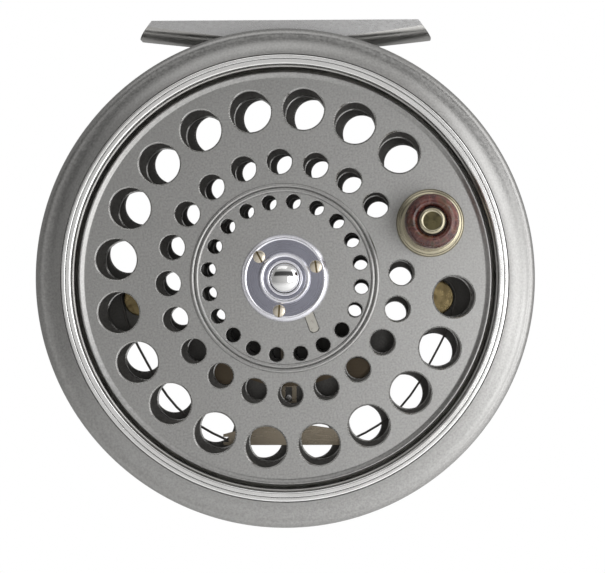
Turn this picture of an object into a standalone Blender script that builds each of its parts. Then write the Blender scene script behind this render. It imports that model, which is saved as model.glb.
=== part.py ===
"""Fly reel: a perforated single-action spool in a caged frame, with a click check and a reel foot.

The origin is the middle of the foot's dished saddle. X runs along the foot, Y points from the winding
face to the back, and Z points out of the saddle. Reel pieces are drawn round the spool's axis as
(x, depth, z), where depth is measured backwards from the spool's face.
"""

import math

import bmesh
import bpy
from mathutils import Matrix, Vector

MM = 0.001

# ---- clearances -------------------------------------------------------------------------------
SEAT = 0.05 * MM            # gap between two pieces that are fastened together
FIT = 0.05 * MM             # radial gap round a screw, a pin or a bush
RUN = 0.05 * MM             # radial gap round a shaft that turns
PLAY = 0.30 * MM            # gap beside a piece that moves

# ---- overall sizes ----------------------------------------------------------------------------
FRAME_RADIUS = 49.2 * MM
BACK_DEPTH = 28.2 * MM      # spool face to the back of the back plate
LIP_RISE = 3.0 * MM         # how far both lips stand in front of the spool face
FACE_TO_FOOT = 13.8 * MM    # spool face to the middle of the foot
FOOT_STANDOFF = 2.3 * MM    # frame edge to the foot's rims

# ---- frame ------------------------------------------------------------------------------------
EDGE_ROUND = 1.4 * MM       # rounding of the frame's outer edge
COVE_WIDTH = 3.9 * MM
COVE_DROP = 1.7 * MM        # how far the cove falls from the lip to the frame's edge
COVE_FACETS = 4
FRAME_LIP_WIDTH = 0.75 * MM
RIM_GAP = 0.2 * MM          # spool rim to frame ring
RING_REAR = 3.2 * MM
BACK_THICKNESS = 2.0 * MM
BACK_RIM_LENGTH = 6.7 * MM
PILLAR_RADIUS = 2.0 * MM
PILLAR_INSET = 3.1 * MM     # frame edge to pillar centre
PILLAR_SPIGOT_RADIUS = 1.1 * MM
PILLAR_SPIGOT_LENGTH = 1.8 * MM
PILLAR_ANGLES = (30, -30, -90, -150, 150)
PILLAR_SCREW_RADIUS = 1.0 * MM
PILLAR_SCREW_HEAD = 1.8 * MM
PILLAR_SCREW_HEAD_HEIGHT = 1.2 * MM
PILLAR_SCREW_REACH = 4.5 * MM
BRIDGE_HALF_WIDTH = 11.0 * MM
BRIDGE_THICKNESS = 2.9 * MM
BRIDGE_SCREW_OFFSET = 8.0 * MM

# ---- foot -------------------------------------------------------------------------------------
FOOT_HALF_LENGTH = 29.2 * MM
FOOT_WIDTH = 14.6 * MM
FOOT_END_SLANT = 2.6 * MM
FOOT_RIM_LAND = 0.5 * MM
FOOT_DISH_RADIUS = 14.0 * MM
FOOT_DISH_FACETS = 7
FOOT_PAD_HALF_LENGTH = 11.0 * MM
FOOT_PAD_HALF_WIDTH = 2.5 * MM
FOOT_WALL_MIDDLE = 3.35 * MM
FOOT_WALL_TIP = 1.15 * MM
FOOT_DEPTH_MIDDLE = 5.3 * MM
FOOT_DEPTH_TIP = 3.4 * MM
FOOT_SCREW_OFFSET = 6.0 * MM
FOOT_SCREW_RADIUS = 1.2 * MM
FOOT_SCREW_HEAD = 2.2 * MM
FOOT_SCREW_HEAD_HEIGHT = 1.2 * MM
FOOT_SCREW_SINK = 0.4 * MM

# ---- spool ------------------------------------------------------------------------------------
SPOOL_TURN = 2.5            # degrees that the spool rests turned from the frame's pattern
SPOOL_LIP_WIDTH = 0.75 * MM
SPOOL_WALL_WIDTH = 0.75 * MM
GROOVE_WIDTH = 0.8 * MM
GROOVE_DEPTH = 1.6 * MM
FACE_BEAD_WIDTH = 1.25 * MM
FACE_BEAD_RISE = 0.3 * MM
FRONT_THICKNESS = 1.8 * MM
FRONT_RIM_REAR = 3.1 * MM
REAR_THICKNESS = 1.6 * MM
REAR_RIM_WIDTH = 1.0 * MM
REAR_RIM_LENGTH = 1.2 * MM
DRUM_WALL = 1.2 * MM
HUB_WALL = 2.25 * MM        # round the bushes
HUB_FLANGE_RADIUS = 9.0 * MM
HUB_FLANGE_THICKNESS = 1.75 * MM

# ---- hole pattern -----------------------------------------------------------------------------
HOLES_ROUND = 20
HOLE_WEB = (2.38 * MM, 2.27 * MM, 1.87 * MM)   # metal between neighbours: outer, middle, inner
HOLE_SIDES = (12, 8, 8)
EDGE_WEB = 1.85 * MM        # outer holes to the edge of the flat face
RING_WEB = 3.95 * MM        # metal between one ring of holes and the next
BACK_HOLE_SHRINK = (0.19 * MM, 0.13 * MM, 0.0)

# ---- spindle, bushes and nut ------------------------------------------------------------------
SPINDLE_RADIUS = 2.85 * MM
SPINDLE_TIP = 0.9 * MM      # where the dome starts, in front of the face
DOME_RISE = 1.3 * MM
LATCH_GROOVE_DEPTH = 0.55 * MM
SHOULDER_STEP = 1.35 * MM   # how far the shoulder stands out round the spindle
SHOULDER_THICKNESS = 1.6 * MM
SPINDLE_THREAD_RADIUS = 2.4 * MM
BUSH_WALL = 1.25 * MM
BUSH_LENGTH = 5.5 * MM
WASHER_RADIUS = 4.8 * MM
WASHER_THICKNESS = 0.7 * MM
NUT_RADIUS = 4.4 * MM
NUT_HEIGHT = 2.4 * MM

# ---- latch ------------------------------------------------------------------------------------
LATCH_ANGLE = -70.0 - SPOOL_TURN    # direction of the release tab, in the spool's own frame
LATCH_TRAVEL = 0.6 * MM
LATCH_THICKNESS = 1.3 * MM
LATCH_RING_WALL = 1.35 * MM # round the spindle
LATCH_ARM_OFFSET = 2.0 * MM
LATCH_ARM_WIDTH = 1.8 * MM
LATCH_ARM_LENGTH = 12.0 * MM
LATCH_SPRING_RADIUS = 0.45 * MM
LATCH_SPRING_LENGTH = 1.9 * MM
COVER_RADIUS = 8.64 * MM
COVER_HEIGHT = 0.6 * MM
COVER_BEVEL = 0.6 * MM
COVER_GAP = 0.12 * MM       # round the spindle
COVER_COLLAR_WALL = 0.63 * MM
COVER_COLLAR_HEIGHT = 0.9 * MM
COVER_RING_GAP = 0.5 * MM
COVER_RING_WIDTH = 1.0 * MM
COVER_RING_HEIGHT = 1.0 * MM
COVER_SCREW_INSET = 2.09 * MM
COVER_SCREW_HEAD = 1.24 * MM
COVER_SCREW_RADIUS = 0.65 * MM
COVER_SCREW_HEAD_HEIGHT = 0.4 * MM
COVER_SCREW_REACH = 1.1 * MM
COVER_SCREW_ANGLES = (20, 140, 260)

# ---- handle -----------------------------------------------------------------------------------
HANDLE_STEP = 18.0          # degrees from +X, in the spool's own frame
HANDLE_EDGE = 2.1 * MM      # handle base to the edge of the flat face
HANDLE_BASE_RADIUS = 6.7 * MM
HANDLE_BASE_HEIGHT = 1.6 * MM
HANDLE_POST_RADIUS = 2.0 * MM
HANDLE_SHANK_RADIUS = 1.5 * MM
HANDLE_RIVET_RADIUS = 2.6 * MM
HANDLE_RIVET_HEIGHT = 0.6 * MM
GRIP_LENGTH = 15.6 * MM
GRIP_BASE_RADIUS = 4.7 * MM
GRIP_WAIST_RADIUS = 4.2 * MM
GRIP_RADIUS = 5.25 * MM
GRIP_RECESS_RADIUS = 3.3 * MM
GRIP_RECESS_DEPTH = 2.5 * MM
CAP_RADIUS = 2.6 * MM
CAP_FLAT_RADIUS = 2.05 * MM
CAP_HEIGHT = 2.6 * MM
CAP_SCREW_RADIUS = 1.0 * MM
CAP_SCREW_REACH = 5.0 * MM

# ---- click check ------------------------------------------------------------------------------
MECHANISM_GAP = 2.8 * MM    # spool's back to the back plate
GEAR_TEETH = 24
GEAR_RADIUS = 11.5 * MM
GEAR_TOOTH_DEPTH = 1.6 * MM
GEAR_BORE_GAP = 0.8 * MM    # round the spindle's shoulder
GEAR_THICKNESS = 2.15 * MM
GEAR_SCREW_RADIUS = 0.6 * MM
GEAR_SCREW_HEAD = 1.15 * MM
PAWL_THICKNESS = 1.0 * MM
PAWL_ENGAGEMENT = 1.1 * MM  # how far the pawl's nose reaches between the gear's teeth
PAWL_BAR_HALF = 13.5 * MM
PAWL_BAR_INSET = 8.95 * MM  # inside of the back rim to the bar's straight edge
PAWL_BAR_DEPTH = 4.2 * MM
PAWL_BAR_CROWN = 2.0 * MM
PAWL_BAR_THICKNESS = 1.6 * MM
PAWL_STEM_HALF = 1.6 * MM
GUIDE_PIN_RADIUS = 0.6 * MM
GUIDE_PIN_ABOVE_BAR = 9.7 * MM
SPRING_BOSS_RADIUS = 3.7 * MM
SPRING_BOSS_INSET = 12.9 * MM
SPRING_BOSS_DROP = 3.9 * MM
SPRING_THICKNESS = 0.4 * MM
SPRING_WIDTH = 1.5 * MM
BRIDGE_FOOT_RADIUS = 3.0 * MM
CHECK_BRIDGE_THICKNESS = 0.9 * MM
CHECK_BRIDGE_FOOT_ANGLE = 53.7
CHECK_BRIDGE_OUTSET = 0.9 * MM  # middle ring of holes to the bridge's feet
CHECK_BRIDGE_WIDTH = 3.2 * MM
SMALL_SCREW_RADIUS = 0.8 * MM
SMALL_SCREW_HEAD = 1.6 * MM
SMALL_SCREW_HEAD_HEIGHT = 0.8 * MM
REGULATOR_SHANK_RADIUS = 1.6 * MM
KNOB_RADIUS = 5.0 * MM
KNOB_HEIGHT = 4.6 * MM
KNOB_FLUTES = 10
KNOB_SCREW_HEAD = 2.0 * MM

# ---- facets -----------------------------------------------------------------------------------
SIDES_LARGE = 48
SIDES_COVER = 24
SIDES_MIDDLE = 16
SIDES_SMALL = 10

# ---- sizes that follow from those above --------------------------------------------------------
STEP_ANGLE = 360.0 / HOLES_ROUND
BORE_RADIUS = FRAME_RADIUS - EDGE_ROUND - COVE_WIDTH - FRAME_LIP_WIDTH
SPOOL_RADIUS = BORE_RADIUS - RIM_GAP
FACE_RADIUS = (SPOOL_RADIUS - SPOOL_LIP_WIDTH - SPOOL_WALL_WIDTH - GROOVE_WIDTH - FACE_BEAD_WIDTH)
PLATE_FRONT = BACK_DEPTH - BACK_THICKNESS
SPOOL_REAR = PLATE_FRONT - MECHANISM_GAP
REAR_PLATE_FRONT = SPOOL_REAR - REAR_THICKNESS
BACK_RIM_FRONT = BACK_DEPTH - BACK_RIM_LENGTH
PILLAR_CIRCLE = FRAME_RADIUS - PILLAR_INSET
FOOT_RIM_HEIGHT = FRAME_RADIUS + FOOT_STANDOFF
HANDLE_CIRCLE = FACE_RADIUS - HANDLE_EDGE - HANDLE_BASE_RADIUS
BUSH_RADIUS = SPINDLE_RADIUS + RUN + BUSH_WALL
HUB_RADIUS = BUSH_RADIUS + HUB_WALL
SHOULDER_RADIUS = SPINDLE_RADIUS + SHOULDER_STEP
LATCH_GROOVE_RADIUS = SPINDLE_RADIUS - LATCH_GROOVE_DEPTH
LATCH_RING_RADIUS = SPINDLE_RADIUS + LATCH_RING_WALL
COVER_COLLAR_RADIUS = SPINDLE_RADIUS + COVER_GAP + COVER_COLLAR_WALL
COVER_RING_INNER = COVER_COLLAR_RADIUS + COVER_RING_GAP
COVER_RING_OUTER = COVER_RING_INNER + COVER_RING_WIDTH
COVER_SCREW_CIRCLE = COVER_RADIUS - COVER_SCREW_INSET
GEAR_FRONT = SPOOL_REAR + SEAT
GEAR_ROOT_RADIUS = GEAR_RADIUS - GEAR_TOOTH_DEPTH
GEAR_BORE = SHOULDER_RADIUS + GEAR_BORE_GAP
GEAR_SCREW_CIRCLE = (GEAR_BORE + GEAR_ROOT_RADIUS) / 2
PAWL_TIP_RADIUS = GEAR_RADIUS - PAWL_ENGAGEMENT
PAWL_TRAVEL = PAWL_ENGAGEMENT + PLAY
PAWL_REAR = PLATE_FRONT - PLAY
PAWL_FRONT = PAWL_REAR - PAWL_THICKNESS
BRIDGE_FRONT = SPOOL_REAR + PLAY
BOSS_X = BORE_RADIUS - SPRING_BOSS_INSET
PAWL_BAR_LOW = -(BORE_RADIUS - PAWL_BAR_INSET)
GUIDE_PIN_Z = PAWL_BAR_LOW + GUIDE_PIN_ABOVE_BAR


def ring_sizes():
    """(ring radius, hole radius) of the outer, middle and inner rings of holes."""
    half = math.sin(math.pi / HOLES_ROUND)
    outside = FACE_RADIUS - EDGE_WEB
    rings = []
    for web in HOLE_WEB:
        ring = (outside + web / 2) / (1 + half)
        hole = ring * half - web / 2
        rings.append((ring, hole))
        outside = ring - hole - RING_WEB
    return rings


RINGS = ring_sizes()
DRUM_RADIUS = RINGS[1][0] - RINGS[1][1] - (RING_WEB - DRUM_WALL) / 2 - 0.8 * MM
CHECK_BRIDGE_SPAN = RINGS[1][0] + CHECK_BRIDGE_OUTSET


def dish_drop():
    """Depth of the foot's dish, whose facets are level in the middle."""
    half = FOOT_WIDTH / 2 - FOOT_RIM_LAND
    reach = math.asin(half / FOOT_DISH_RADIUS)
    flat = FOOT_DISH_RADIUS * math.cos(reach / FOOT_DISH_FACETS)
    return flat - FOOT_DISH_RADIUS * math.cos(reach)


AXIS_Z = -(FOOT_RIM_HEIGHT - dish_drop())


# ---- building helpers -------------------------------------------------------------------------
def clear_scene():
    for item in list(bpy.data.objects):
        bpy.data.objects.remove(item, do_unlink=True)


def material(name, colour, roughness, metallic):
    made = bpy.data.materials.new(name)
    made.use_nodes = True
    shader = made.node_tree.nodes["Principled BSDF"]
    shader.inputs["Base Color"].default_value = (*colour, 1.0)
    shader.inputs["Roughness"].default_value = roughness
    shader.inputs["Metallic"].default_value = metallic
    return made


def axis_empty(name, place, turn_y=0.0, parent=None):
    empty = bpy.data.objects.new(name, None)
    empty.empty_display_size = 5 * MM
    empty.location = place
    empty.rotation_euler = (0, turn_y, 0)
    empty.parent = parent
    bpy.context.scene.collection.objects.link(empty)
    return empty


def finish_mesh(name, bm, look, parent, place=(0, 0, 0)):
    """The bmesh as a named object, facing out, smooth on its round sides."""
    bmesh.ops.remove_doubles(bm, verts=bm.verts, dist=0.0005 * MM)
    bmesh.ops.recalc_face_normals(bm, faces=bm.faces)
    mesh = bpy.data.meshes.new(name)
    bm.to_mesh(mesh)
    bm.free()
    mesh.shade_smooth()
    mesh.set_sharp_from_angle(angle=math.radians(35))
    made = bpy.data.objects.new(name, mesh)
    made.location = place
    made.parent = parent
    if look:
        made.data.materials.append(look)
    bpy.context.scene.collection.objects.link(made)
    return made


def add_turned(bm, profile, sides, centre=(0, 0)):
    """A closed (radius, depth) outline spun round a line along Y."""
    verts = [bm.verts.new((centre[0] + r, depth, centre[1])) for r, depth in profile]
    edges = [bm.edges.new((verts[i - 1], verts[i])) for i in range(len(verts))]
    bmesh.ops.spin(
        bm,
        geom=verts + edges,
        cent=(centre[0], 0, centre[1]),
        axis=(0, -1, 0),
        angle=math.tau,
        steps=sides,
        use_merge=True,
    )


def turned(name, profile, look, parent, sides=SIDES_LARGE, centre=(0, 0), place=(0, 0, 0)):
    bm = bmesh.new()
    add_turned(bm, profile, sides, centre)
    return finish_mesh(name, bm, look, parent, place)


def add_rod(bm, centre, radius, front, back, sides):
    """A solid round bar along Y, with a corner at +X."""
    step = math.tau / sides
    ring = [
        Vector((centre[0] + radius * math.cos(i * step), 0, centre[1] + radius * math.sin(i * step)))
        for i in range(sides)
    ]
    add_slab(bm, [(p.x, p.z) for p in ring], front, back)


def add_slab(bm, outline, front, back):
    """An (x, z) outline as a plate from one depth to another."""
    near = [bm.verts.new((x, front, z)) for x, z in outline]
    face = bm.faces.new(near)
    moved = bmesh.ops.extrude_face_region(bm, geom=[face])
    far = [item for item in moved["geom"] if isinstance(item, bmesh.types.BMVert)]
    bmesh.ops.translate(bm, verts=far, vec=(0, back - front, 0))


def slab(name, outline, front, back, look, parent, place=(0, 0, 0)):
    bm = bmesh.new()
    add_slab(bm, outline, front, back)
    return finish_mesh(name, bm, look, parent, place)


def cutter(name, bm, parent):
    made = finish_mesh(name, bm, None, parent)
    made.hide_render = True
    made.display_type = "WIRE"
    return made


def cut(target, tool):
    modifier = target.modifiers.new(tool.name, "BOOLEAN")
    modifier.operation = "DIFFERENCE"
    modifier.object = tool


def join_on(target, tool):
    modifier = target.modifiers.new(tool.name, "BOOLEAN")
    modifier.operation = "UNION"
    modifier.object = tool


def round_bore(radius, sides):
    """The corner radius of a many-sided bore whose flats clear a round of this radius."""
    return radius / math.cos(math.pi / sides)


def polar(radius, degrees):
    angle = math.radians(degrees)
    return (radius * math.cos(angle), radius * math.sin(angle))


def arc(centre, radius, start, stop, steps):
    """Points of an arc in (x, z), from one angle in degrees to another, both ends included."""
    points = []
    for i in range(steps + 1):
        x, z = polar(radius, start + (stop - start) * i / steps)
        points.append((centre[0] + x, centre[1] + z))
    return points


def hole_angles(ring, missing):
    """Angles of one ring's holes: the middle ring is half a step round from the other two."""
    offset = 0.0 if ring == 1 else STEP_ANGLE / 2
    angles = [offset + STEP_ANGLE * i for i in range(HOLES_ROUND)]
    return [a for a in angles if round(a) % 360 not in {round(m) % 360 for m in missing}]


def add_holes(bm, missing, front, back, shrink=(0, 0, 0)):
    """Every hole of the pattern as a bar; missing gives the angles left out of each ring."""
    for ring, (circle, hole) in enumerate(RINGS):
        for angle in hole_angles(ring, missing[ring]):
            add_rod(bm, polar(circle, angle), hole - shrink[ring], front, back, HOLE_SIDES[ring])


def add_stepped(bm, centre, steps, sides=SIDES_SMALL):
    """A bar along Y of several widths; steps are (radius, from depth, to depth), end to end."""
    profile = [(0, steps[0][1])]
    for radius, front, back in steps:
        profile += [(radius, front), (radius, back)]
    profile.append((0, steps[-1][2]))
    add_turned(bm, profile, sides, centre)


def screw(name, centre, faces, radii, look, parent, slot_turn=0.0):
    """A slotted screw along Y: faces are the depths of head top, head seat and tip."""
    top, seat, tip = faces
    head, shank = radii
    sign = 1 if tip > top else -1
    edge = 0.15 * abs(seat - top)
    profile = [
        (0, top),
        (head - edge, top),
        (head, top + sign * edge),
        (head, seat),
        (shank, seat),
        (shank, tip),
        (0, tip),
    ]
    made = turned(name, profile, look, parent, SIDES_SMALL, place=(centre[0], 0, centre[1]))
    slot = bmesh.new()
    half = head * 0.14
    depth = 0.45 * abs(seat - top)
    outline = [(-2 * head, -half), (2 * head, -half), (2 * head, half), (-2 * head, half)]
    add_slab(slot, outline, top - sign * depth, top + sign * depth)
    bmesh.ops.rotate(slot, verts=slot.verts, cent=(0, 0, 0), matrix=Matrix.Rotation(slot_turn, 3, "Y"))
    bmesh.ops.translate(slot, verts=slot.verts, vec=(centre[0], 0, centre[1]))
    cut(made, cutter(name + "_slot", slot, parent))
    return made


# ---- frame ------------------------------------------------------------------------------------
def frame_ring(look, parent):
    """The front ring: its lip, a cove that flattens outwards and a rounded outer edge."""
    cove_inner = BORE_RADIUS + FRAME_LIP_WIDTH
    edge_depth = COVE_DROP - LIP_RISE
    cove = [
        (cove_inner + COVE_WIDTH * i / COVE_FACETS, edge_depth - COVE_DROP * (1 - i / COVE_FACETS) ** 2)
        for i in range(1, COVE_FACETS + 1)
    ]
    profile = [
        (BORE_RADIUS, RING_REAR),
        (BORE_RADIUS, -LIP_RISE + 0.2 * MM),
        (BORE_RADIUS + 0.15 * MM, -LIP_RISE),
        (cove_inner - 0.15 * MM, -LIP_RISE),
        *cove,
        (FRAME_RADIUS - 0.5 * EDGE_ROUND, edge_depth + 0.13 * EDGE_ROUND),
        (FRAME_RADIUS - 0.13 * EDGE_ROUND, edge_depth + 0.5 * EDGE_ROUND),
        (FRAME_RADIUS, edge_depth + EDGE_ROUND),
        (FRAME_RADIUS, RING_REAR - 0.4 * MM),
        (FRAME_RADIUS - 0.4 * MM, RING_REAR),
    ]
    ring = turned("frame_ring", profile, look, parent)
    spigot = PILLAR_SPIGOT_RADIUS + FIT
    front = RING_REAR - PILLAR_SPIGOT_LENGTH - SEAT
    behind = RING_REAR + 1 * MM
    tool = bmesh.new()
    for centre in pillar_screw_places():
        add_rod(tool, centre, spigot, front, behind, SIDES_SMALL)
    cut(ring, cutter("ring_spigot_holes", tool, parent))


def bridge_top():
    return FOOT_RIM_HEIGHT - FOOT_DEPTH_MIDDLE - SEAT


def bridge_middle():
    return bridge_top() - BRIDGE_THICKNESS / 2


def back_plate(look, parent):
    lip_outer = BORE_RADIUS + FRAME_LIP_WIDTH
    step = FRAME_RADIUS - EDGE_ROUND
    profile = [
        (round_bore(SPINDLE_THREAD_RADIUS + FIT, SIDES_LARGE), PLATE_FRONT),
        (BORE_RADIUS, PLATE_FRONT),
        (BORE_RADIUS, BACK_RIM_FRONT),
        (FRAME_RADIUS - 0.4 * MM, BACK_RIM_FRONT),
        (FRAME_RADIUS, BACK_RIM_FRONT + 0.4 * MM),
        (FRAME_RADIUS, BACK_DEPTH - 3.6 * MM),
        (step, BACK_DEPTH - 2.8 * MM),
        (lip_outer, BACK_DEPTH),
        (round_bore(SPINDLE_THREAD_RADIUS + FIT, SIDES_LARGE), BACK_DEPTH),
    ]
    plate = turned("back_plate", profile, look, parent)
    lower_middle = [-36, -54, -72, -90, -108, -126, -144]
    lower_inner = [-45, -63, -81, -99, -117, -135]
    missing = ([-9, -171], lower_middle, lower_inner)
    front = PLATE_FRONT - MM
    back = BACK_DEPTH + MM
    tool = bmesh.new()
    add_holes(tool, missing, front, back, BACK_HOLE_SHRINK)
    bore = PILLAR_SCREW_RADIUS + FIT
    head = PILLAR_SCREW_HEAD + 2 * FIT
    for centre in pillar_screw_places():
        add_stepped(tool, centre, [(bore, BACK_RIM_FRONT - MM, screw_seat()), (head, screw_seat(), back)])
    for centre in check_screw_places():
        add_rod(tool, centre, SMALL_SCREW_RADIUS + FIT, front, back, SIDES_SMALL)
    shank = round_bore(REGULATOR_SHANK_RADIUS + RUN, SIDES_SMALL)
    add_rod(tool, (BOSS_X, -SPRING_BOSS_DROP), shank, front, back, SIDES_SMALL)
    add_rod(tool, (0, GUIDE_PIN_Z), GUIDE_PIN_RADIUS + FIT, front, back, SIDES_SMALL)
    cut(plate, cutter("back_plate_holes", tool, parent))


def screw_seat():
    """Depth of the flat under the heads of the screws that hold pillars and bridge."""
    return BACK_DEPTH - 3.4 * MM


def pillar_screw_places():
    places = [polar(PILLAR_CIRCLE, a) for a in PILLAR_ANGLES]
    return places + [(side * BRIDGE_SCREW_OFFSET, bridge_middle()) for side in (-1, 1)]


def check_bridge_feet():
    return [polar(CHECK_BRIDGE_SPAN, a) for a in (-180 + CHECK_BRIDGE_FOOT_ANGLE, -CHECK_BRIDGE_FOOT_ANGLE)]


def check_screw_places():
    return check_bridge_feet() + [(-BOSS_X, -SPRING_BOSS_DROP)]


def pillars(look, screw_look, parent):
    front = RING_REAR + SEAT
    rear = BACK_RIM_FRONT - SEAT
    bore = PILLAR_SCREW_RADIUS + FIT
    reach = screw_seat() - PILLAR_SCREW_REACH - (screw_seat() - rear)
    profile = [
        (0, front - PILLAR_SPIGOT_LENGTH),
        (PILLAR_SPIGOT_RADIUS, front - PILLAR_SPIGOT_LENGTH),
        (PILLAR_SPIGOT_RADIUS, front),
        (PILLAR_RADIUS, front),
        (PILLAR_RADIUS, rear),
        (bore, rear),
        (bore, reach),
        (0, reach),
    ]
    for number, angle in enumerate(PILLAR_ANGLES, 1):
        x, z = polar(PILLAR_CIRCLE, angle)
        turned(f"pillar_{number}", profile, look, parent, SIDES_SMALL, place=(x, 0, z))
    seat = screw_seat() + SEAT
    faces = (seat + PILLAR_SCREW_HEAD_HEIGHT, seat, reach + 4 * SEAT)
    for number, centre in enumerate(pillar_screw_places(), 1):
        name = f"pillar_screw_{number}" if number <= len(PILLAR_ANGLES) else (
            "bridge_screw_left" if centre[0] < 0 else "bridge_screw_right"
        )
        screw(name, centre, faces, (PILLAR_SCREW_HEAD, PILLAR_SCREW_RADIUS), screw_look, parent, 0.5 * number)


def foot_bridge(look, pin_look, parent):
    front = RING_REAR + SEAT
    rear = BACK_RIM_FRONT - SEAT
    half = BRIDGE_HALF_WIDTH
    top = bridge_top()
    low = top - BRIDGE_THICKNESS
    outline = [(-half, low), (half, low), (half, top), (-half, top)]
    bridge = slab("foot_bridge", outline, front, rear, look, parent)
    bore = PILLAR_SCREW_RADIUS + FIT
    pin = PILLAR_SPIGOT_RADIUS + FIT
    pin_reach = front + 3 * MM
    tool = bmesh.new()
    for side in (-1, 1):
        centre = (side * BRIDGE_SCREW_OFFSET, bridge_middle())
        add_rod(tool, centre, bore, rear - PILLAR_SCREW_REACH, rear + MM, SIDES_SMALL)
        add_rod(tool, centre, pin, front - MM, pin_reach, SIDES_SMALL)
        dowel = [
            (0, front - PILLAR_SPIGOT_LENGTH),
            (PILLAR_SPIGOT_RADIUS, front - PILLAR_SPIGOT_LENGTH),
            (PILLAR_SPIGOT_RADIUS, pin_reach - 2 * SEAT),
            (0, pin_reach - 2 * SEAT),
        ]
        name = "bridge_dowel_left" if side < 0 else "bridge_dowel_right"
        turned(name, dowel, pin_look, parent, SIDES_SMALL, place=(centre[0], 0, centre[1]))
    add_upright(tool, [(FOOT_SCREW_RADIUS + FIT, low - MM, top + MM)])
    cut(bridge, cutter("bridge_holes", tool, parent))


def add_upright(bm, steps):
    """Two upright bars where the foot's screws go; steps run up from below, as in add_stepped."""
    for side in (-1, 1):
        before = set(bm.verts)
        add_stepped(bm, (0, 0), steps)
        new = [v for v in bm.verts if v not in before]
        bmesh.ops.rotate(bm, verts=new, cent=(0, 0, 0), matrix=Matrix.Rotation(math.pi / 2, 3, "X"))
        bmesh.ops.translate(bm, verts=new, vec=(side * FOOT_SCREW_OFFSET, FACE_TO_FOOT, 0))


def foot_section(wall, depth):
    """(y, z) outline across the foot, z measured down from its rims: dish, walls and crowned belly."""
    half = FOOT_WIDTH / 2
    inner = half - FOOT_RIM_LAND
    reach = math.asin(inner / FOOT_DISH_RADIUS)
    rim = FOOT_DISH_RADIUS * math.cos(reach)
    points = [(-half, 0)]
    for i in range(FOOT_DISH_FACETS + 1):
        angle = reach * (2 * i / FOOT_DISH_FACETS - 1)
        points.append((FOOT_DISH_RADIUS * math.sin(angle), rim - FOOT_DISH_RADIUS * math.cos(angle)))
    points.append((half, 0))
    for i in range(4):
        angle = math.pi / 2 * i / 3
        y = FOOT_PAD_HALF_WIDTH + (half - FOOT_PAD_HALF_WIDTH) * math.cos(angle)
        points.append((y, -wall - (depth - wall) * math.sin(angle)))
    for i in range(3, -1, -1):
        angle = math.pi / 2 * i / 3
        y = FOOT_PAD_HALF_WIDTH + (half - FOOT_PAD_HALF_WIDTH) * math.cos(angle)
        points.append((-y, -wall - (depth - wall) * math.sin(angle)))
    return points


def reel_foot(look, parent):
    bm = bmesh.new()
    middle = foot_section(FOOT_WALL_MIDDLE, FOOT_DEPTH_MIDDLE)
    tip = foot_section(FOOT_WALL_TIP, FOOT_DEPTH_TIP)
    stations = []
    for side, section, at in (
        (-1, tip, None),
        (-1, middle, FOOT_PAD_HALF_LENGTH),
        (1, middle, FOOT_PAD_HALF_LENGTH),
        (1, tip, None),
    ):
        ring = []
        for y, z in section:
            slant = FOOT_END_SLANT * (1 + z / FOOT_DEPTH_TIP)
            x = side * (FOOT_HALF_LENGTH - slant if at is None else at)
            ring.append(bm.verts.new((x, FACE_TO_FOOT + y, FOOT_RIM_HEIGHT + z)))
        stations.append(ring)
    for one, two in zip(stations, stations[1:]):
        for i in range(len(one)):
            bm.faces.new((one[i - 1], one[i], two[i], two[i - 1]))
    bm.faces.new(stations[0])
    bm.faces.new(stations[-1])
    foot = finish_mesh("reel_foot", bm, look, parent)
    low = FOOT_RIM_HEIGHT - FOOT_DEPTH_MIDDLE
    seat = foot_screw_seat()
    tool = bmesh.new()
    add_upright(tool, [
        (FOOT_SCREW_RADIUS + FIT, low - MM, seat),
        (FOOT_SCREW_HEAD + FIT, seat, FOOT_RIM_HEIGHT + MM),
    ])
    cut(foot, cutter("foot_screw_holes", tool, parent))


def foot_screw_seat():
    """Height, above the reel's axis, of the flat under the heads of the foot's screws."""
    return -AXIS_Z - FOOT_SCREW_SINK - FOOT_SCREW_HEAD_HEIGHT


def foot_screws(look, parent):
    for side in (-1, 1):
        name = "foot_screw_left" if side < 0 else "foot_screw_right"
        upright = axis_empty(name + "_axis", (side * FOOT_SCREW_OFFSET, FACE_TO_FOOT, 0), parent=parent)
        upright.rotation_euler = (math.radians(90), 0, 0)
        seat = foot_screw_seat() + SEAT
        faces = (seat + FOOT_SCREW_HEAD_HEIGHT, seat, bridge_top() - BRIDGE_THICKNESS + 0.3 * MM)
        screw(name, (0, 0), faces, (FOOT_SCREW_HEAD, FOOT_SCREW_RADIUS), look, upright, 0.4 + side)


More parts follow.
